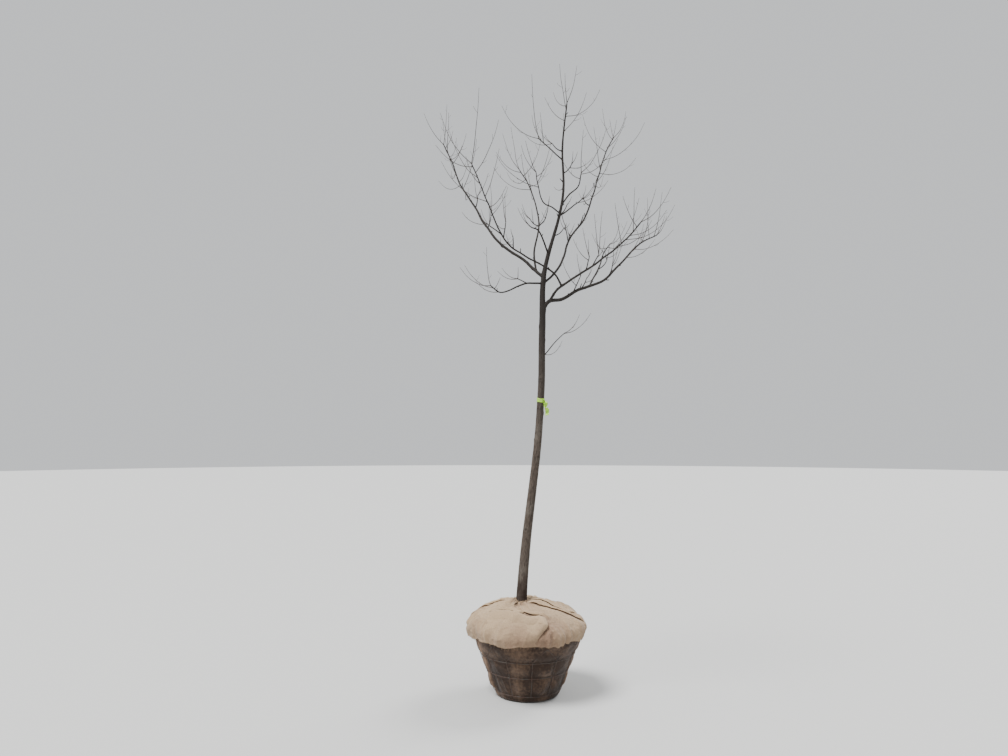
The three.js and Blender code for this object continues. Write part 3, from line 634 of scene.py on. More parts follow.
crumples = noise_at(cap_grid * (1, 1, 0.7), 24, 73)
cap_lift += CRUMPLE_HEIGHT * ridges(crumples, 2.5)
held = smooth_step(3, 10, np.arange(len(cap_grid)))[:, None]
cap_outside = cap_grid + cap_ways * (cap_lift * held)[..., None]

lining_rows = np.linspace(len(cap_grid) - 1, 0, CAP_LINING_ROWS).round().astype(int)
lining = cap_outside[lining_rows] + outward_ways(cap_outside)[lining_rows] * CAP_THICKNESS
cap_shell = np.concatenate([cap_outside, lining])
shell_cloth = np.concatenate([cap_cloth, cap_cloth[lining_rows]])
# Painted highlights make the ruffle crests at the rim paler, and painted shade darkens the hollows between
# the gathers near the trunk.
cap_stain_and_painted_light = 0.05 + stain_and_shade_at(cap_cloth) + 0.1 * noise_at(cap_grid, 90, 74) - crease_dirt_and_painted_light
cap_stain_and_painted_light = cap_stain_and_painted_light - 0.05 * np.abs(crumples) - 0.06 * ruffles * at_rim
cap_stain_and_painted_light = cap_stain_and_painted_light + 0.12 * smooth_step(110, 50, from_trunk) * (1 - gathers)
# A darker patch on the right front is partly stain and partly painted shade on cloth that faces away from
# the light.
cap_stain_and_painted_light = cap_stain_and_painted_light + 0.34 * towards(303, 0.45, cap_angles) * smooth_step(230, 340, arc)[:, None]
shell_stain_and_painted_light = np.concatenate([cap_stain_and_painted_light, cap_stain_and_painted_light[lining_rows] + 0.4])
burlap_clean = burlap_finish("clean_burlap", CLEAN_JUTE, DAMP_JUTE)
cap = piece_of(
    "burlap_cap_cloth",
    cap_shell.reshape(-1, 3),
    tube_triangles(len(cap_shell), CAP_COLUMNS, ring=True)[:, ::-1],
    burlap_clean,
    cloth=shell_cloth.reshape(-1, 2),
    soil=shell_stain_and_painted_light.ravel(),
)
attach(cap, "root")
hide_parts("burlap_cap")


def curve_leg(before, start, end, after, shares):
    """Points between start and end on the smooth curve through four corners."""
    gaps = [math.sqrt(np.linalg.norm(b - a)) for a, b in ((before, start), (start, end), (end, after))]
    first, middle, last = gaps
    leave = (start - before) / first - (end - before) / (first + middle) + (end - start) / middle
    arrive = (end - start) / middle - (after - start) / (middle + last) + (after - end) / last
    leave = leave * middle
    arrive = arrive * middle
    share = np.asarray(shares)[:, None]
    square = -3 * start + 3 * end - 2 * leave - arrive
    cube = 2 * start - 2 * end + leave + arrive
    return start + leave * share + square * share ** 2 + cube * share ** 3


def curve_through(corners, steps):
    """Points on the smooth curve through some corners, with a number of steps to each leg."""
    corners = np.asarray(corners, float)
    ends = np.concatenate([[2 * corners[0] - corners[1]], corners, [2 * corners[-1] - corners[-2]]])
    points = []
    for leg, count in enumerate(steps):
        points.extend(curve_leg(*ends[leg:leg + 4], np.arange(count) / count))
    points.append(corners[-1])
    return np.array(points)


def on_cap(spots, lifts):
    """Points at some heights above the cap, over spots on its cloth laid flat."""
    column = np.arctan2(spots[:, 1], spots[:, 0]) % FULL_TURN / FULL_TURN * CAP_COLUMNS
    row = np.interp(np.hypot(spots[:, 0], spots[:, 1]), arc, np.arange(len(arc)))
    left = np.floor(column).astype(int)
    above = np.minimum(np.floor(row).astype(int), len(arc) - 2)
    rightwards = (column - left)[:, None]
    downwards = (row - above)[:, None]

    def between_columns(grid, rows):
        here = grid[rows, left % CAP_COLUMNS]
        beside = grid[rows, (left + 1) % CAP_COLUMNS]
        return here * (1 - rightwards) + beside * rightwards

    def between_rows(grid):
        return between_columns(grid, above) * (1 - downwards) + between_columns(grid, above + 1) * downwards

    return between_rows(cap_outside) + unit(between_rows(cap_ways)) * np.asarray(lifts)[:, None]


def folded_cloth(route, height, width, seed):
    """Corners, triangles, cloth places and darkness of a fold that lies on the cap: stain and painted
    light.
    """
    corners = xyz(*np.array(route, float).T, 0)
    lengths = np.linalg.norm(np.diff(corners, axis=0), axis=1)
    line = curve_through(corners, [max(int(length / FOLD_ROW), 2) for length in lengths])
    line = line + FOLD_WANDER * xyz(noise_at(line, 45, seed), noise_at(line, 45, seed + 1), 0)
    ahead = unit(np.gradient(line, axis=0))
    left = np.stack([-ahead[:, 1], ahead[:, 0]], axis=1)
    shares = np.linspace(0, 1, len(line))
    shown = smooth_step(0, 0.2, shares) * smooth_step(1, 0.84, shares)
    tall = height * shown * (1 + 0.35 * noise_at(line, 60, seed + 2))
    sides, lifts, hangs = np.array(FOLD_SECTION, float).T
    spots = line[:, None, :2] + left[:, None] * (sides * width - hangs)[:, None]
    heights = tall[:, None] * lifts - 4 * (1 - shown)[:, None] - 2 * (lifts < 0)
    surface = on_cap(spots.reshape(-1, 2), heights.ravel())
    count = len(FOLD_SECTION)
    ends = np.stack([surface[:count].mean(axis=0), surface[-count:].mean(axis=0)])
    places = np.concatenate([spots.reshape(-1, 2), spots[0, :1], spots[-1, :1]])
    # The underside is soiled, and the rolled edge is painted a little paler than the rest as a painted
    # highlight.
    place = np.arange(count)
    underside_soil_and_edge_highlight = np.where(place > 8, 0.45, 0.0) - 0.05 * bell(place - 6.5, 1.5)
    soil = 0.05 + np.tile(underside_soil_and_edge_highlight, len(line)) + 0.1 * noise_at(surface, 90, 74) + stain_and_shade_at(places[:-2])
    triangles = tube_triangles(len(line), count)
    return np.concatenate([surface, ends]), triangles, places, np.append(soil, [0.2, 0.2])


folds = [folded_cloth(*fold, 200 + 5 * number) for number, fold in enumerate(CAP_FOLDS)]
fold_corners, fold_triangles, fold_places, fold_stain_and_painted_light = zip(*folds)
fold_piece = piece_of(
    "burlap_cap_folds",
    *joined(zip(fold_corners, fold_triangles)),
    burlap_clean,
    cloth=np.concatenate(fold_places),
    soil=np.concatenate(fold_stain_and_painted_light),
)
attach(fold_piece, "root")
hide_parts("burlap_cap")

# Loose threads hang from the hem, and every ninth one stands up at the collar.
FRAYS = 210
FRAY_AT_COLLAR = 9
FRAY_THREAD = 0.8
FRAY_POINTS = 7
FRAY_SIDES = 4
FRAY_LENGTHS = (3, 13)
fray_draws = np.random.default_rng(5)
frays = []
for number in range(FRAYS):
    column = fray_draws.integers(CAP_COLUMNS)
    at_hem = number % FRAY_AT_COLLAR > 0
    edge = cap_outside[-1 if at_hem else 0, column]
    outward = unit(edge * (1, 1, 0))
    length = fray_draws.uniform(*FRAY_LENGTHS)
    bend = fray_draws.normal(0, 0.5, 3)
    shares = np.linspace(-0.25, 1, FRAY_POINTS)[:, None]
    way = np.array([0, 0, -1 if at_hem else 1]) + 0.3 * outward
    fray = edge - outward + shares * length * way + shares ** 2 * length * bend * 0.5
    frays.append(rod(fray, FRAY_THREAD / 2 * np.linspace(1, 0.5, FRAY_POINTS), FRAY_SIDES))
frayed = Finish("frayed_threads", {"Roughness": 0.9})
fray_noise = frayed.noise(frayed.place(), 120.0, 2.0)
frayed.paint(frayed.blend(fray_noise, CLEAN_JUTE, DAMP_JUTE))
fray_piece = piece_of("hem_threads", *joined(frays), frayed)
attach(fray_piece, "root")

# Trunk
# One straight-grained stem of living wood. Its bark is grey-brown and splits into shallow
# lengthwise furrows, is dark and damp at the foot, and has a few healed pruning knots.

CHECK_STEP = 10
# Each leg of a limb has a length, a rise and a heading in degrees.
TRUNK_LEGS = (
    (250, 86, 0),
    (890, 83.5, 5),
    (570, 88, 335),
    (355, 88, 10),
    (525, 76, 8),
    (320, 89, 250),
    (300, 83.5, 335),
)
# Distances along the trunk and diameters there.
TRUNK_GIRTH = (
    (0, 78),
    (45, 66),
    (120, 63),
    (500, 54),
    (1250, 43),
    (1750, 41),
    (1960, 34),
    (2290, 21),
    (2650, 15),
    (3210, 8),
)
TRUNK_ENDS = 2960
# Healed knots: distance along the trunk, turn about it in degrees, and width.
TRUNK_KNOTS = (
    (300, 40, 15), (455, 250, 17), (700, 130, 13), (905, 300, 15), (1010, 205, 12), (1180, 20, 14),
    (1390, 255, 16), (1475, 120, 12), (1640, 320, 13), (1725, 190, 12),
)
TRUNK_SIDES = 72
TRUNK_ROW = 3.4
TRUNK_FURROWS = (1.0, 5.5)
TRUNK_FLARE = 3
# The furrows are long and narrow: in their pattern, a step along the limb counts for only this
# share of a step across it. Then follows how much of the pattern is furrow.
FURROW_STRETCH = 0.075
FURROW_SHARE = 0.17
WRINKLE_SHRINK = 1.3 / FURROW_STRETCH
TIP_LENGTH = 45
BARK_RIDGE = (0.074, 0.056, 0.044, 1)
BARK_FURROW = (0.024, 0.017, 0.012, 1)
BARK_DAMP = (0.018, 0.01, 0.007, 1)
BARK_GREY = (0.1, 0.084, 0.069, 1)
YOUNG_BARK = (0.023, 0.0185, 0.016, 1)
YOUNG_BARK_HEIGHTS = (1.55, 2.3)
DAMP_HEIGHTS = (0.74, 0.56)


def way_of(rise, heading):
    """The unit vector of a rise and a heading in degrees."""
    up = math.radians(rise)
    turn = math.radians(heading)
    return np.array([math.cos(up) * math.cos(turn), math.cos(up) * math.sin(turn), math.sin(up)])


def limb_points(start, legs):
    """Points about CHECK_STEP apart on a limb's axis."""
    corners = [np.asarray(start, float)]
    for length, rise, heading in legs:
        corners.append(corners[-1] + way_of(rise, heading) * length)
    return curve_through(corners, [int(length / CHECK_STEP + 0.5) for length, _, _ in legs])


class Stations:
    """The axis of a limb: its points, its ways, two axes square to each, the run and the radius."""

    def __init__(self, points, girth=None):
        ahead = np.concatenate([points[1:], points[-1:]])
        behind = np.concatenate([points[:1], points[:-1]])
        self.spot = points
        self.way = unit(ahead - behind)
        self.run = np.cumsum(np.linalg.norm(points - behind, axis=1))
        self.radius = np.zeros(len(points))
        across = np.array([1.0, 0, 0]) if abs(self.way[0][0]) < 0.9 else np.array([0, 1.0, 0])
        kept = []
        for way in self.way:
            across = unit(across - way * across.dot(way))
            kept.append(across)
        self.across = np.array(kept)
        self.beside = np.cross(self.across, self.way)
        if girth:
            self.set_girth(((0, girth[0]), (self.run[-1], girth[1])))

    def set_girth(self, girth):
        """Sets the radii from pairs of a distance and a diameter."""
        runs, widths = zip(*girth)
        self.radius = np.interp(self.run, runs, widths) / 2

    def nearest(self, along):
        """The number of the station nearest to a distance along the limb."""
        return int(np.argmin(np.abs(self.run - along)))

    def sideways(self, k, turn):
        """The way that points out of a station at a turn about the axis."""
        return self.across[k] * math.cos(turn) + self.beside[k] * math.sin(turn)


def limb_wander(limb, runs, radius, tip):
    """How far a limb's middle strays from its axis, along two axes square to it."""
    reach = (np.minimum(0.4 * radius, 30 / radius) + 0.6) * smooth_step(0, 60, runs)
    if tip:
        reach = reach * smooth_step(runs[-1], runs[-1] - TIP_LENGTH, runs)
    spots = xyz(runs / (40 + 5 * limb.radius[0]), 0, limb.spot[-1, 0])
    return [(reach * noise_at(spots, 1, seed))[:, None] for seed in (86, 87)]


def collars(limb, runs, turns, children):
    """How far the bark swells where other limbs leave."""
    swell = np.zeros((len(runs), len(turns)))
    for along, way, radius in children:
        k = limb.nearest(along)
        toward = math.atan2(way.dot(np.cross(limb.way[k], limb.across[k])), way.dot(limb.across[k]))
        facing = np.clip(np.cos(turns - toward), 0, 1) ** 2
        off = runs - along - limb.radius[k] * 0.6
        reach = limb.radius[k] * 0.55 + radius * 1.5
        swell += (0.42 * radius * bell(off, reach))[:, None] * facing
    return swell


def healed_knots(runs, turns, radius, knots):
    """How far knots stand out of the bark, and how dark their hollow middles are."""
    swell = np.zeros((len(runs), len(turns)))
    scars = np.zeros(swell.shape)
    for along, turn, width in knots:
        off = np.hypot((runs - along)[:, None], radius * turn_from(turns, math.radians(turn)))
        swell += width * (0.32 * bell(off, width) - 0.3 * bell(off, 0.4 * width))
        scars = np.maximum(scars, bell(off, 0.45 * width))
    return swell, scars


def limb_skin(limb, ends, row, sides, furrows, children=(), knots=(), flare=0, tip=False):
    """Corners and triangles of a limb's bark between two distances along it, and how dark it is.
    The furrows are given by how deep and how far apart they are, and a tip is rounded off."""
    depth, pitch = furrows
    runs = np.linspace(*ends, max(int((ends[1] - ends[0]) / row), 3))
    spots, way, across = (
        np.stack([np.interp(runs, limb.run, values[:, axis]) for axis in range(3)], axis=1)
        for values in (limb.spot, limb.way, limb.across)
    )
    way = unit(way)
    across = unit(across - way * np.sum(across * way, axis=1, keepdims=True))
    beside = np.cross(way, across)
    radius = np.interp(runs, limb.run, limb.radius)
    stray_across, stray_beside = limb_wander(limb, runs, radius, tip)
    spots = spots + across * stray_across + beside * stray_beside
    turns = np.linspace(0, FULL_TURN, sides, endpoint=False)
    widths = radius[:, None]
    bark_spots = ring_points(turns, widths, runs[:, None] * FURROW_STRETCH)
    splits = noise_at(bark_spots, pitch, 81) + 0.5 * noise_at(bark_spots, pitch * 0.5, 82)
    dark = bell(splits, FURROW_SHARE)
    grain = noise_at(bark_spots * (1, 1, 2.5), pitch * 0.34, 83)
    wrinkles = noise_at(bark_spots * (1, 1, WRINKLE_SHRINK), pitch * 0.5, 84)
    swell, scars = healed_knots(runs, turns, widths, knots)
    surface = widths + depth * (0.45 - dark + 0.22 * grain + 0.1 * wrinkles)
    surface += widths * 0.035 * noise_at(bark_spots * (0.5, 0.5, 0.35), 16, 85)
    surface += swell + collars(limb, runs, turns, children)
    if flare:
        surface += (flare * np.exp(-(runs - ends[0]) / (1.5 * flare + 3)))[:, None]
    if tip:
        left = np.clip((ends[1] - runs) / (2.2 * radius[-1]), 0, 1)
        surface *= np.sqrt(1 - (1 - left) ** 2 * 0.97)[:, None]
    corners = (spots[:, None] + spokes_of(across, beside, turns) * surface[..., None]).reshape(-1, 3)
    corners = np.concatenate([corners, spots[:1], spots[-1:]])
    soil = np.append(np.maximum(dark, scars), [0.5, 0.5])
    return corners, tube_triangles(len(runs), sides), soil


def bark_finish(name, ridge, furrow, grey, young=None):
    """Weathered bark: dark in its furrows, with grey patches, fine grain and small pores. With a
    tone for young bark, it is damp at the foot and turns young towards the crown."""
    bark = Finish(name, {"Roughness": 0.86, "Specular IOR Level": 0.3})
    place = bark.place()
    stretched = bark.add("Mapping", {"Vector": place, "Scale": (1, 1, 0.16)})["Vector"]
    grain = bark.noise(stretched, 260.0, 6.0)
    patches = bark.noise(place, 11.0, 4.0)
    flecks = bark.noise(place, 420.0, 3.0)
    colour = bark.blend(bark.spread(patches, 0.42, 0.66), ridge, grey)
    colour = bark.blend(bark.spread(bark.soil(), 0.1, 1.0, 0.0, 0.75), colour, furrow)
    colour = bark.tint(colour, bark.spread(grain, 0.3, 0.7, 0.6, 1.25))
    colour = bark.tint(colour, bark.spread(flecks, 0.35, 0.7, 0.85, 1.18))
    if young:
        height = bark.add("SeparateXYZ", {"Vector": place})["Z"]
        ragged_height = bark.math("ADD", bark.spread(patches, 0.3, 0.7, -0.1, 0.1), height)
        damp = bark.spread(ragged_height, *DAMP_HEIGHTS, 0.0, 0.85)
        colour = bark.blend(damp, colour, BARK_DAMP)
        colour = bark.blend(bark.spread(height, *YOUNG_BARK_HEIGHTS), colour, young)
    bark.paint(colour)
    bark.emboss(bark.math("ADD", grain, flecks), 0.6, 0.0006)
    return bark


trunk_start = (TRUNK_BASE_X, 0, SEAT_HEIGHT)
limbs = {"trunk": Stations(limb_points(trunk_start, TRUNK_LEGS))}
limbs["trunk"].set_girth(TRUNK_GIRTH)

# The boughs and branches, in the order in which they grew: the limb that each springs from and
# how far along it, its legs (length, rise, heading), its diameter at either end, the distance at
# which it enters its twigs, and how many side twigs stand on it.
LIMBS = {
    "left_bough": ("trunk", 2048, (
        (185, 42, 159), (195, 37, 157), (225, 50, 142), (175, 55, 135), (195, 55, 147), (215, 65, 138),
        (145, 63, 153),
    ), (20, 7), 850, 3),
    "inner_riser": ("left_bough", 68, (
        (140, 65, 98), (265, 64, 72), (345, 61, 110), (185, 55, 131),
    ), (13, 6), 580, 1),
    "right_lower_bough": ("trunk", 1832, (
        (70, 51, 0), (80, 13, 16), (120, 30, 17), (205, 23, 18), (390, 44, 17), (130, 28, 15),
    ), (24, 7), 640, 2),
    "right_upper_bough": ("right_lower_bough", 66, (
        (100, 47, 321), (310, 22, 319), (265, 24, 312), (130, 31, 304),
    ), (16, 7), 500, 1),
    "right_inner_bough": ("right_lower_bough", 375, (
        (210, 47, 56), (145, 48, 67), (145, 41, 57),
    ), (11, 6), 300, 1),
    "crossing_bough": ("right_upper_bough", 135, (
        (90, 50, 218), (320, 25, 204), (125, 41, 219), (320, 53, 231), (110, 53, 229),
    ), (12, 6), 620, 1),
    "right_centre_bough": ("trunk", 2006, (
        (95, 38, 36), (110, 47, 42), (250, 57, 55), (200, 50, 39), (190, 60, 47), (435, 65, 48),
        (130, 60, 27),
    ), (15, 7), 900, 3),
    "short_left_branch": ("trunk", 1999, (
        (110, -5, 208), (245, -21, 221), (100, 14, 234),
    ), (12, 7), 340, 0),
    "leader_stub_branch": ("trunk", 2198, ((165, 50, 233), (65, 8, 222)), (11, 8), 165, 0),
    "leader_right_back_branch": ("trunk", 2463, ((150, 35, 43), (150, 34, 52)), (10, 6), 190, 0),
    "leader_left_branch": ("trunk", 2482, (
        (65, 24, 214), (80, 13, 220), (120, 54, 237), (75, 56, 253),
    ), (9, 5), 210, 0),
    "leader_right_branch": ("trunk", 2535, (
        (85, 37, 311), (90, 20, 306), (85, 53, 288),
    ), (10, 6), 165, 0),
    "leader_top_branch": ("trunk", 2836, ((155, 26, 216), (65, 20, 222)), (8, 6), 130, 0),
}
for name, (parent, along, legs, girth, *_) in LIMBS.items():
    fork = limbs[parent].spot[limbs[parent].nearest(along)]
    limbs[name] = Stations(limb_points(fork, legs), girth)


def radius_at(name, along):
    """The radius of a limb at a distance along it."""
    return limbs[name].radius[limbs[name].nearest(along)]


def in_bough(name):
    """Which of a limb's stations belong to its bough, and not to the twigs at its end."""
    return limbs[name].run <= (TRUNK_ENDS if name == "trunk" else LIMBS[name][4])


def bough_end(name):
    """The run of the last station of a limb that belongs to its bough."""
    return limbs[name].run[in_bough(name)][-1]


def children_of(parent_name):
    """Where limbs leave a limb: the distance along it, and their way and radius there."""
    children = []
    for name, (parent, along, *_) in LIMBS.items():
        if parent == parent_name:
            near = limbs[name].nearest(radius_at(parent, along))
            children.append((along, limbs[name].way[near], limbs[name].radius[near]))
    return children


trunk_bark = bark_finish("trunk_bark", BARK_RIDGE, BARK_FURROW, BARK_GREY, YOUNG_BARK)
trunk_corners, trunk_faces, trunk_dark = limb_skin(
    limbs["trunk"], (0, bough_end("trunk")), TRUNK_ROW, TRUNK_SIDES, TRUNK_FURROWS,
    children_of("trunk"), TRUNK_KNOTS, TRUNK_FLARE)
trunk = piece_of("trunk_bark_skin", trunk_corners, trunk_faces, trunk_bark, soil=trunk_dark)
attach(trunk, "root")
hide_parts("trunk")

# Marker ribbon
# A strip of thin, bright vinyl flagging tape tied round the trunk with a simple knot. One end
# hangs from the knot, crumpled and a little curled.

RIBBON_ALONG = 1262
RIBBON_WIDTH = 27
RIBBON_THICKNESS = 0.7
RIBBON_OFF_BARK = 0.9
RIBBON_COLUMNS = 96
TAIL_POINTS = 60
KNOT_POINTS = 26
KNOT_SIDES = 14
TIE_TURN = math.radians(-42)
# How far each end leans out, falls and leans back from the knot.
RIBBON_TAILS = ((23, 92, -2), (14, 46, -5))
STRIP_SHARES = np.linspace(-0.5, 0.5, 9)
NEON = (0.42, 0.72, 0.05, 1)
NEON_SHADE = (0.27, 0.5, 0.03, 1)


def strip(middles, acrosses, widths, thickness, ring=False):
    """Corners and triangles of a thin strip along a line, across which it has that width."""
    ahead = np.gradient(middles, axis=0)
    if ring:
        ahead = np.roll(middles, -1, axis=0) - np.roll(middles, 1, axis=0)
    off = (unit(np.cross(acrosses, unit(ahead))) * thickness / 2)[:, None]
    sheet = middles[:, None] + acrosses[:, None] * (widths[:, None, None] * STRIP_SHARES[:, None])
    curl = np.cos(STRIP_SHARES * FULL_TURN)[:, None] * 0.5
    corners = np.concatenate([sheet + off * (1 + curl), (sheet - off * (1 - curl))[:, ::-1]], axis=1)
    flat = corners.reshape(-1, 3)
    if not ring:
        flat = np.concatenate([flat, corners[:1].mean(axis=1), corners[-1:].mean(axis=1)])
    return flat, tube_triangles(len(middles), corners.shape[1], ring)


def bark_reach(middle, way, turns):
    """How far the trunk's bark reaches out under the ribbon, near each of some turns."""
    off = trunk_corners[:-2] - middle
    off = off[np.abs(off.dot(way)) < RIBBON_WIDTH * 0.6]
    off = off - off.dot(way)[:, None] * way
    gaps = np.abs(turn_from(turns[:, None], np.arctan2(off[:, 1], off[:, 0])))
    return np.where(gaps < 0.3, np.hypot(off[:, 0], off[:, 1]), 0).max(axis=1)


knot = limbs["trunk"].nearest(RIBBON_ALONG)
knot_spot = limbs["trunk"].spot[knot]
knot_way = limbs["trunk"].way[knot]
band_turns = np.linspace(0, FULL_TURN, RIBBON_COLUMNS, endpoint=False)
band_radius = bark_reach(knot_spot, knot_way, band_turns) + RIBBON_OFF_BARK
band_middles = knot_spot + ring_points(band_turns, band_radius, 2.5 * np.sin(band_turns * 2 + 1))
band_puckers = 0.4 + 0.4 * noise_at(band_middles, 9, 91)
band_middles += unit(band_middles - knot_spot) * band_puckers[:, None]
band_widths = RIBBON_WIDTH * (0.86 + 0.12 * noise_at(band_middles, 14, 92))
band_ways = np.tile(knot_way, (RIBBON_COLUMNS, 1))
ribbon_parts = [strip(band_middles, band_ways, band_widths, RIBBON_THICKNESS, ring=True)]
tie_out = band_radius.max() + 0.5
tie = knot_spot + np.array([math.cos(TIE_TURN), math.sin(TIE_TURN), 0]) * tie_out
for number, (lean, fall, depth) in enumerate(RIBBON_TAILS):
    shares = np.linspace(0, 1, TAIL_POINTS)
    tail = tie + xyz(
        lean * shares ** 0.7 + 2.6 * np.sin(shares * 11 + number),
        depth * shares + 3.4 * np.sin(shares * 17 + number * 2) * shares ** 0.5,
        -fall * shares + 5 * np.sin(shares * 4) + 1.6 * np.sin(shares * 21),
    )
    twist = 0.5 + 0.9 * np.sin(shares * 5 + number * 2.2)
    acrosses = unit(ring_points(twist, 1, 0.25))
    opened = 0.35 + 0.6 * smooth_step(0, 0.35, shares)
    tail_widths = RIBBON_WIDTH * opened * (1 - 0.12 * np.sin(shares * 9))
    ribbon_parts.append(strip(tail, acrosses, tail_widths, RIBBON_THICKNESS))
knot_shares = np.linspace(0, 1, KNOT_POINTS)
knot_line = tie + xyz(
    3.5 * np.cos(knot_shares * 5.6),
    -2.5 + 2.2 * np.sin(knot_shares * 5.6),
    9 * (knot_shares - 0.5),
)
ribbon_parts.append(rod(knot_line, 3.2 + 1.2 * np.sin(knot_shares * 19), KNOT_SIDES))
vinyl = Finish("neon_vinyl", {"Roughness": 0.35})
vinyl_noise = vinyl.noise(vinyl.place(), 60.0, 3.0)
vinyl.paint(vinyl.blend(vinyl.spread(vinyl_noise, 0.35, 0.65), NEON, NEON_SHADE))
vinyl.emboss(vinyl_noise, 0.5, 0.002)
ribbon = piece_of("flagging_tape", *joined(ribbon_parts), vinyl)
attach(ribbon, "root")
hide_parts("marker_ribbon")

# Boughs and branches
# The limbs that make the crown's frame, of the same living wood as the trunk. Their bark is
# younger and smoother, and each one swells into a collar where it leaves the limb below it.

YOUNG_BARK_FURROW = (0.009, 0.007, 0.006, 1)
YOUNG_BARK_GREY = (0.036, 0.031, 0.027, 1)
# The turn from one knot, shoot or bud to the next, in degrees.
TURN = 137.5
BOUGH_ROW = 3.6
BOUGH_FURROW_PITCH = 3.2
KNOT_SPACING = 62
STUB_SPACING = 128
STUB_LENGTHS = (3, 30)
STUB_LEANS = (0.6, 1.3)
STUB_POINTS = 10
STUB_SIDES = 9
TRUNK_STUBS_FROM = 2050
BOUGH_STUBS_FROM = 90
STUBS_END = 25
bough_bark = bark_finish("bough_bark", YOUNG_BARK, YOUNG_BARK_FURROW, YOUNG_BARK_GREY)


def knots_of(limb, spacing, seed):
    """Places for knots: a distance along a limb, a turn about it in degrees and a width."""
    draws = np.random.default_rng(seed)
    count = int(limb.run[-1] / spacing)
    alongs = (np.arange(count) + draws.uniform(0.1, 0.9, count)) * spacing
    widths = np.interp(alongs, limb.run, limb.radius) * draws.uniform(0.7, 1.1, count)
    return list(zip(alongs, TURN * np.arange(count), widths))


bough_knots = {}
for name, (parent, along, legs, girth, *_) in LIMBS.items():
    ends = (0.5 * radius_at(parent, along), bough_end(name))
    sides = 20 + int(girth[0] * 0.8)
    bough_knots[name] = knots_of(limbs[name], KNOT_SPACING, legs[0][0])
    corners, faces, dark = limb_skin(
        limbs[name], ends, BOUGH_ROW, sides, (0.1 + girth[0] * 0.018, BOUGH_FURROW_PITCH),
        children_of(name), bough_knots[name], girth[0] * 0.17)
    bough = piece_of(name + "_bark", corners, faces, bough_bark, soil=dark)
    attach(bough, "root")
    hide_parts(name)


def mix(ends, share):
    """The number at a share of the way between two others."""
    return ends[0] + (ends[1] - ends[0]) * share


def stub(limb, along, turn, lean, length):
    """A short blunt spur, left where a side shoot was pruned or died back."""
    k = limb.nearest(along)
    way = limb.way[k] * math.cos(lean) + limb.sideways(k, turn) * math.sin(lean)
    shares = np.linspace(0, 1, STUB_POINTS)
    path = limb.spot[k] + way * (shares * (length + limb.radius[k]))[:, None]
    path = path + np.array([0, 0, 0.4]) * (shares ** 2 * length)[:, None]
    girth = min(0.3 * limb.radius[k] + 0.9, 2.9)
    widths = girth * (1.5 - 0.75 * shares + 0.28 * bell(shares - 0.85, 0.09))
    widths[-1] *= 0.5
    return rod(path, widths, STUB_SIDES)


stub_draws = np.random.default_rng(14)
stubs = []
for name, limb in limbs.items():
    first = TRUNK_STUBS_FROM if name == "trunk" else BOUGH_STUBS_FROM
    for along in np.arange(first, limb.run[-1] - STUBS_END, STUB_SPACING):
        spot = along + stub_draws.uniform(-0.45, 0.45) * STUB_SPACING
        length = mix(STUB_LENGTHS, stub_draws.uniform() ** 2.2)
        turn = stub_draws.uniform(0, FULL_TURN)
        stubs.append(stub(limb, spot, turn, stub_draws.uniform(*STUB_LEANS), length))
stub_piece = piece_of("pruned_stubs", *joined(stubs), bough_bark)
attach(stub_piece, "root")

# Twigs
# The limbs run out into thin live twigs, which carry last year's whips and, on those, finer side
# twigs and spurs with small pointed buds. One seeded rule sets them all from the limbs outwards.

GAP = 0.35
# Side twigs that are listed one by one: the limb, the distance along it, and the twig's legs.
PLACED_TWIGS = {
    "trunk_side_twigs": ("trunk", 1527, ((135, 48, 338), (75, 41, 339))),
    "crossing_bough_upright_twigs": ("crossing_bough", 500, ((105, 75, 60),)),
    "crossing_bough_outer_twigs": ("crossing_bough", 515, ((110, 35, 185),)),
    "inner_riser_side_twigs": ("inner_riser", 370, ((50, 45, 350), (60, 70, 10))),
    "right_centre_fork_twigs": ("right_centre_bough", 415, ((120, 80, 190),)),
    "right_upper_knob_twigs": ("right_upper_bough", 385, ((80, 60, 340),)),
    "right_lower_thin_twigs": ("right_lower_bough", 250, ((115, 62, 330),)),
    "short_left_fork_twigs": ("short_left_branch", 120, ((65, 25, 190),)),
}
LEADER_SIDE_TWIGS = 5
LEADER_SIDE_TWIGS_FROM = 2260
BOUGH_SIDE_TWIGS_FROM = 0.3
TWIG_GIRTH = (7.5, 5)
SIDE_TWIG_LENGTH = 85
SHOOT_GIRTH = (4.2, 1.5)
SHOOT_LENGTHS = (180, 420)
SHOOT_SHRINK = 0.85
SHOOT_LEAVES = (48, 80)
SHOOT_STEPS = 4
TIP_SHOOT_LEAVES = (8, 40)
SHOOT_LIFT = 0.34
SHOOT_WANDER = 0.16
SHOOT_LOWEST_RISE = -0.12
SHOOTS_START = 26
SHOOT_SPACING = 46
SHOOTS_AT_TIP = 2
SHOOTS_ON_SIDE_TWIG = 3
MOST_SHOOTS = 50
TRIES = 14
SPACE_MARGIN = 12
LIMB_CLEARANCE = 14
CROWN_MIDDLE_X = 110
CROWN_RADIUS = 900
CROWN_TOP = 3990
FINE_SPACING = 150
FINE_LENGTHS = (22, 95)
FINE_GIRTH = (2.0, 1.0)
FINE_LEAVES = (42, 68)
FINE_LIFT = 0.22
FINE_TRIES = 5
FINE_TAPER = 0.6
SMOOTH_STEP_LENGTH = 9
NODE_SPACING = 36
WHIP_SIDES = 8
FINE_SIDES = 6
BUD_SIDES = 5
STEM_ROW = 4.2
STEM_SIDES = 16
STEM_FURROWS = (0.18, 2.6)
STEM_FLARE = 1.4
BUD_SPACING = (30, 44)
BUD_LENGTH = 4.6
BUD_WIDTH = 2.1
BUDS_START = 14
FINE_BUDS_START = 10
BUDS_END = 8
TIP_BUD_SIZE = (1.25, 1.05)
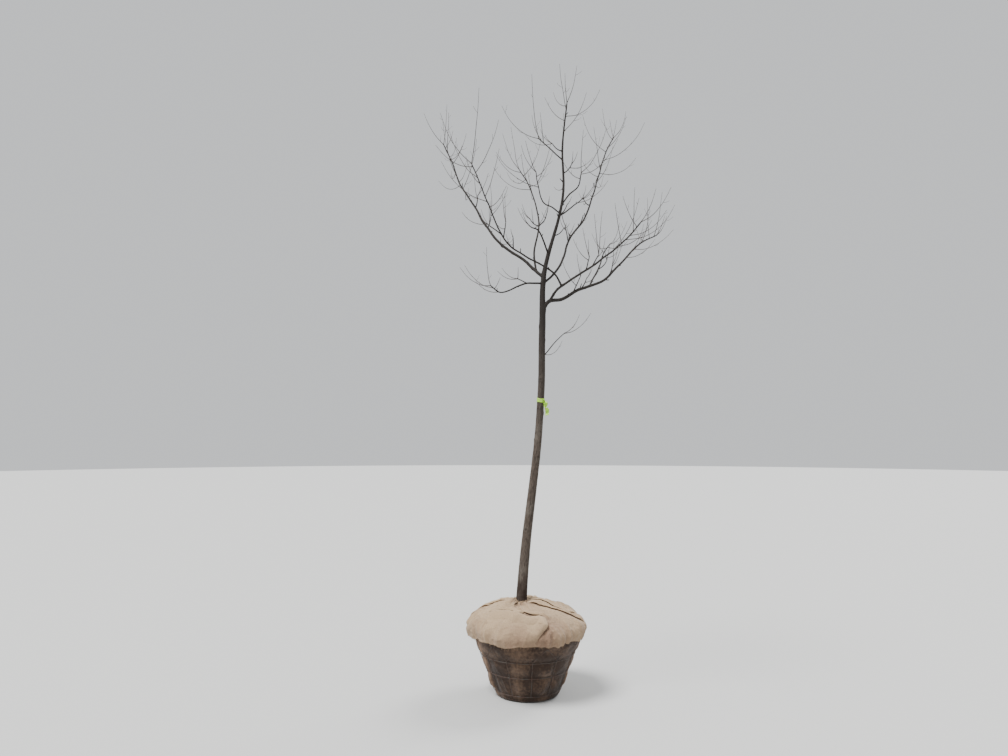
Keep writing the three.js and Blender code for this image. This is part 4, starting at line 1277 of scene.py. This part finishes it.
# Distances along a bud and its widths there, as shares of its length and width.
BUD_OUTLINE = ((0, 0.55), (0.22, 1.0), (0.5, 0.86), (0.8, 0.42), (1.0, 0.1))
WHIP_TONES = ((0.034, 0.025, 0.02, 1), (0.053, 0.041, 0.035, 1))
FINE_TONES = ((0.046, 0.03, 0.024, 1), (0.062, 0.046, 0.039, 1))
BUD_TONES = ((0.05, 0.025, 0.017, 1), (0.075, 0.042, 0.029, 1))


def seeded_random(seed):
    """A run of numbers between 0 and 1 that is the same each time for the same seed."""
    modulus = 2147483647
    state = (seed * 7919 + 12345) % modulus

    def draw():
        nonlocal state
        state = state * 16807 % modulus
        return state / modulus

    return draw


def way_leaving(stem, k, leaves, turn):
    """A way that leaves a stem's station at an angle to it, turned about it, both in degrees."""
    lean = math.radians(leaves)
    return stem.way[k] * math.cos(lean) + stem.sideways(k, math.radians(turn)) * math.sin(lean)


def shoot_points(root, way, length, random, lift=SHOOT_LIFT):
    """A shoot's points: it leaves one way and turns up by a like amount at each step."""
    points = [root]
    heading = way.copy()
    for _ in range(SHOOT_STEPS):
        points.append(points[-1] + heading * (length / SHOOT_STEPS))
        heading[0] += SHOOT_WANDER * (random() - 0.5)
        heading[1] += SHOOT_WANDER * (random() - 0.5)
        heading[2] += lift
        heading = heading / np.linalg.norm(heading)
    return np.array(points)


def check_points(points, start):
    """Points about CHECK_STEP apart on straight lines between a shoot's points."""
    checked = []
    for before, after in zip(points, points[1:]):
        steps = math.ceil(np.linalg.norm(after - before) / CHECK_STEP)
        checked.extend(before + (after - before) * step / steps for step in range(1, steps + 1))
    checked = np.array(checked)
    return checked[np.linalg.norm(checked - points[0], axis=1) > start]


def is_in_crown(points):
    """Whether points lie within the crown's reach."""
    from_middle = np.hypot(points[:, 0] - CROWN_MIDDLE_X, points[:, 1])
    return bool(np.all(from_middle < CROWN_RADIUS) and np.all(points[:, 2] < CROWN_TOP))


def gaps_to(points, spots):
    """The distance from each point to each spot."""
    return np.linalg.norm(points[:, None] - spots[None], axis=2)


bough_spots = {name: limb.spot[in_bough(name)] for name, limb in limbs.items()}
bough_radii = {name: limb.radius[in_bough(name)] for name, limb in limbs.items()}


def clears_limbs(points, names):
    """Whether points stay clear of the boughs of some limbs."""
    spots = np.concatenate([bough_spots[name] for name in names])
    radii = np.concatenate([bough_radii[name] for name in names])
    return len(points) == 0 or bool(np.all(gaps_to(points, spots) > radii + LIMB_CLEARANCE))


def keeps_its_space(points, own, others):
    """Whether points stay in the space that is nearer to their own stem than to the others."""
    if len(points) == 0:
        return True
    reach = gaps_to(points, own).min(axis=1) + SPACE_MARGIN
    return bool(np.all(gaps_to(points, others).min(axis=1) > reach))


def ruled_side_stem(host, along, seed):
    """A side twig's stem, set by the rule: the first of a few tries that clears the limbs."""
    station = limbs[host].nearest(along)
    other_limbs = [name for name in limbs if name != host]
    for attempt in range(TRIES):
        random = seeded_random(seed * TRIES + attempt)
        leaves = mix(SHOOT_LEAVES, random())
        way = way_leaving(limbs[host], station, leaves, TURN * (seed + attempt))
        points = shoot_points(limbs[host].spot[station], way, SIDE_TWIG_LENGTH, random)
        if way[2] > 0 and clears_limbs(check_points(points, SHOOTS_START), other_limbs):
            return Stations(np.concatenate([points[:1], check_points(points, 0)]), TWIG_GIRTH)
    raise ValueError("no room for a side twig")


class Mass:
    """A mass of twigs: its stem, the station and distance where that starts, and its shoots."""

    def __init__(self, name, stem, start, first=0, shoots=SHOOTS_ON_SIDE_TWIG):
        self.name = name
        self.stem = stem
        self.start = start
        self.first = first
        self.shoots = shoots
        self.spots = stem.spot[first:].copy()
        if first:
            self.spots[0] = self.spots[0] + stem.way[first] * GAP

    def has_room_for(self, points, way, start):
        """Whether a shoot rises enough, clears the limbs and stays in this mass's space."""
        checked = check_points(points, start)
        return (way[2] > SHOOT_LOWEST_RISE and is_in_crown(checked) and clears_limbs(checked, limbs)
                and keeps_its_space(checked, self.spots, self.others))


def label_of(host):
    """What the masses on a limb are named after."""
    return "leader" if host == "trunk" else host


masses = []
for name, limb in limbs.items():
    first = int(np.argmax(limb.run == bough_end(name)))
    shoots = SHOOTS_AT_TIP + math.floor((limb.run[-1] - limb.run[first]) / SHOOT_SPACING + 0.5)
    masses.append(Mass(label_of(name) + "_tip_twigs", limb, limb.run[first], first, shoots))
for name, (host, along, legs) in PLACED_TWIGS.items():
    stem = Stations(limb_points(limbs[host].spot[limbs[host].nearest(along)], legs), TWIG_GIRTH)
    masses.append(Mass(name, stem, radius_at(host, along) / 2))
hosts = [(name, end * BOUGH_SIDE_TWIGS_FROM, end, count) for name, (*_, end, count) in LIMBS.items()]
hosts.append(("trunk", LEADER_SIDE_TWIGS_FROM, TRUNK_ENDS, LEADER_SIDE_TWIGS))
ruled_count = 0
for host, first_along, last_along, count in hosts:
    for number in range(1, count + 1):
        ruled_count += 1
        along = mix((first_along, last_along), (number - 0.5) / count)
        stem = ruled_side_stem(host, along, ruled_count)
        name = f"{label_of(host)}_side_twigs_{number}"
        masses.append(Mass(name, stem, radius_at(host, along) / 2))
for mass in masses:
    mass.others = np.concatenate([other.spots for other in masses if other is not mass])


def grow_shoots(mass, seed):
    """The shoots of one mass, each tried a few times and skipped if none of the tries fits."""
    stem = mass.stem
    start = stem.run[mass.first]
    length = stem.run[-1] - start
    shoots = []
    for number in range(mass.shoots):
        at_tip = number < SHOOTS_AT_TIP
        for attempt in range(TRIES):
            random = seeded_random((seed * MOST_SHOOTS + number) * TRIES + attempt)
            share = (number - SHOOTS_AT_TIP + random()) / (mass.shoots - SHOOTS_AT_TIP)
            run = length if at_tip else mix((SHOOTS_START, length), share)
            station = mass.first + int(np.argmin(np.abs(stem.run[mass.first:] - (start + run))))
            leaves = mix(TIP_SHOOT_LEAVES if at_tip else SHOOT_LEAVES, random())
            way = way_leaving(stem, station, leaves, TURN * (number + attempt * random()))
            shoot_length = mix(SHOOT_LENGTHS, random()) * (1 - SHOOT_SHRINK * attempt / TRIES)
            points = shoot_points(mass.spots[station - mass.first], way, shoot_length, random)
            if mass.has_room_for(points, way, SHOOTS_START):
                shoots.append(points)
                break
    return shoots


def smooth_shoot(points, girth):
    """Stations a few millimetres apart on the smooth curve through a shoot's points."""
    lengths = np.linalg.norm(np.diff(points, axis=0), axis=1)
    steps = [max(int(length / SMOOTH_STEP_LENGTH), 2) for length in lengths]
    return Stations(curve_through(points, steps), girth)


def fine_twigs_on(shoot, mass, seed):
    """Finer twigs along a shoot, by the same rule and within the same space."""
    twigs = []
    count = int(shoot.run[-1] / FINE_SPACING)
    for number in range(count):
        for attempt in range(FINE_TRIES):
            random = seeded_random((seed * MOST_SHOOTS + number) * FINE_TRIES + attempt)
            k = shoot.nearest(shoot.run[-1] * (0.12 + 0.8 * (number + random()) / count))
            way = way_leaving(shoot, k, mix(FINE_LEAVES, random()), TURN * (number + attempt * random()))
            taper = 1 - FINE_TAPER * shoot.run[k] / shoot.run[-1]
            length = mix(FINE_LENGTHS, random() ** 2) * taper
            points = shoot_points(shoot.spot[k], way, length, random, FINE_LIFT)
            if mass.has_room_for(points, way, CHECK_STEP):
                girth = min(FINE_GIRTH[0], shoot.radius[k] * 1.5)
                twigs.append(smooth_shoot(points, (girth, FINE_GIRTH[1])))
                break
    return twigs


def knobbly_rod(shoot, sides):
    """A twig's bark: it swells at its foot and at every node."""
    nodes = 0.12 * np.clip(np.cos(shoot.run / NODE_SPACING * FULL_TURN), 0.6, 1) * shoot.radius
    foot = 0.55 * shoot.radius[0] * np.exp(-shoot.run / (2.5 * shoot.radius[0]))
    return rod(shoot.spot, shoot.radius + nodes + foot, sides)


def bud(spot, way, out, size):
    """One pointed bud that lies close along a twig and leans a little outwards."""
    shares, widths = np.array(BUD_OUTLINE).T
    path = spot + unit(way + out * 0.45) * shares[:, None] * BUD_LENGTH * size[0]
    return rod(path, widths * BUD_WIDTH * size[1] / 2, BUD_SIDES)


def buds_on(shoot, seed, from_run):
    """Buds in a spiral along a twig, and a larger one at its tip."""
    random = seeded_random(seed)
    buds = []
    run = from_run + 12 * random()
    while run < shoot.run[-1] - BUDS_END:
        k = shoot.nearest(run)
        out = shoot.sideways(k, math.radians(TURN * len(buds)))
        size = 0.75 + 0.35 * random()
        buds.append(bud(shoot.spot[k] + out * shoot.radius[k] * 0.6, shoot.way[k], out, (size, size)))
        run += mix(BUD_SPACING, random())
    tip = shoot.spot[-1] - shoot.way[-1] * 1.5
    buds.append(bud(tip, shoot.way[-1], 0, TIP_BUD_SIZE))
    return buds


stems = []
whips = []
fine_twigs = []
buds = []
for number, mass in enumerate(masses, 1):
    knots = bough_knots.get(mass.name.removesuffix("_tip_twigs"), ())
    stems.append(limb_skin(
        mass.stem, (mass.start, mass.stem.run[-1]), STEM_ROW, STEM_SIDES, STEM_FURROWS,
        knots=knots, flare=0 if mass.first else STEM_FLARE, tip=True))
    for shoot_number, points in enumerate(grow_shoots(mass, number)):
        shoot = smooth_shoot(points, SHOOT_GIRTH)
        shoot_seed = number * MOST_SHOOTS + shoot_number
        whips.append(knobbly_rod(shoot, WHIP_SIDES))
        buds.extend(buds_on(shoot, shoot_seed, BUDS_START))
        for fine_number, fine in enumerate(fine_twigs_on(shoot, mass, shoot_seed)):
            fine_twigs.append(knobbly_rod(fine, FINE_SIDES))
            buds.extend(buds_on(fine, shoot_seed * MOST_SHOOTS + fine_number, FINE_BUDS_START))


def twig_finish(name, tones, roughness):
    """Smooth young bark that varies from one twig to the next."""
    skin = Finish(name, {"Roughness": roughness})
    place = skin.place()
    flecks = skin.noise(place, 500.0, 3.0)
    colour = skin.blend(skin.spread(skin.noise(place, 14.0, 3.0), 0.4, 0.62), *tones)
    skin.paint(skin.tint(colour, skin.spread(flecks, 0.35, 0.7, 0.75, 1.2)))
    skin.emboss(flecks, 0.5, 0.0003)
    return skin


twig_bark = bark_finish("twig_bark", YOUNG_BARK, YOUNG_BARK_FURROW, YOUNG_BARK_GREY)
stem_skins = joined([skin[:2] for skin in stems])
stem_dark = np.concatenate([skin[2] for skin in stems])
twig_pieces = [
    piece_of("twig_stems", *stem_skins, twig_bark, soil=stem_dark),
    piece_of("whips", *joined(whips), twig_finish("whip_bark", WHIP_TONES, 0.7)),
    piece_of("fine_twigs", *joined(fine_twigs), twig_finish("fine_twig_bark", FINE_TONES, 0.7)),
    piece_of("buds", *joined(buds), twig_finish("bud_scales", BUD_TONES, 0.6)),
]
for piece in twig_pieces:
    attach(piece, "root")
for piece in twig_pieces[:2]:
    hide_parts(*[mass.name for mass in masses])

# Studio
# A pale floor under a wide soft light from high on the front left and a weaker one from the back
# right, with the camera where the photographer stood.

EYE = (-0.142, -4.65, 1.53)
EYE_RISE = math.radians(4.738)
LENS = 26.5
SENSOR_WIDTH = 36
FLOOR_RADIUS = 40000
FLOOR_CORNERS = 64
FLOOR_TONE = (0.5, 0.5, 0.49, 1)
AIR_TONE = (0.86, 0.88, 0.9, 1)
AIR_STRENGTH = 0.88

floor_turns = np.linspace(0, FULL_TURN, FLOOR_CORNERS, endpoint=False)
floor_points = np.concatenate([[(0, 0, 0)], ring_points(floor_turns, FLOOR_RADIUS, 0)])
corner = np.arange(FLOOR_CORNERS)
floor_faces = np.stack([0 * corner, corner + 1, (corner + 1) % FLOOR_CORNERS + 1], axis=1)
pale = Finish("pale_floor", {"Roughness": 0.8, "Base Color": FLOOR_TONE})
floor = piece_of("studio_floor", floor_points, floor_faces, pale)

world = bpy.data.worlds.new("studio_air")
world.use_nodes = True
world.node_tree.nodes["Background"].inputs["Color"].default_value = AIR_TONE
world.node_tree.nodes["Background"].inputs["Strength"].default_value = AIR_STRENGTH
bpy.context.scene.world = world


def soft_light(name, rise, heading, spread, strength):
    """A wide, even light that shines down from a rise and a heading, all three in degrees."""
    lamp = bpy.data.lights.new(name, "SUN")
    lamp.angle = math.radians(spread)
    lamp.energy = strength
    holder = bpy.data.objects.new(name, lamp)
    holder.rotation_euler = (math.radians(90 - rise), 0, math.radians(heading + 90))
    bpy.context.scene.collection.objects.link(holder)


soft_light("high_left_light", rise=60, heading=214, spread=24, strength=5.3)
soft_light("back_right_light", rise=41, heading=40, spread=24, strength=2.3)

camera_data = bpy.data.cameras.new("photographer")
camera_data.lens = LENS
camera_data.sensor_width = SENSOR_WIDTH
camera = bpy.data.objects.new("photographer", camera_data)
camera.location = EYE
camera.rotation_euler = (math.pi / 2 + EYE_RISE, 0, 0)
bpy.context.scene.collection.objects.link(camera)
bpy.context.scene.camera = camera
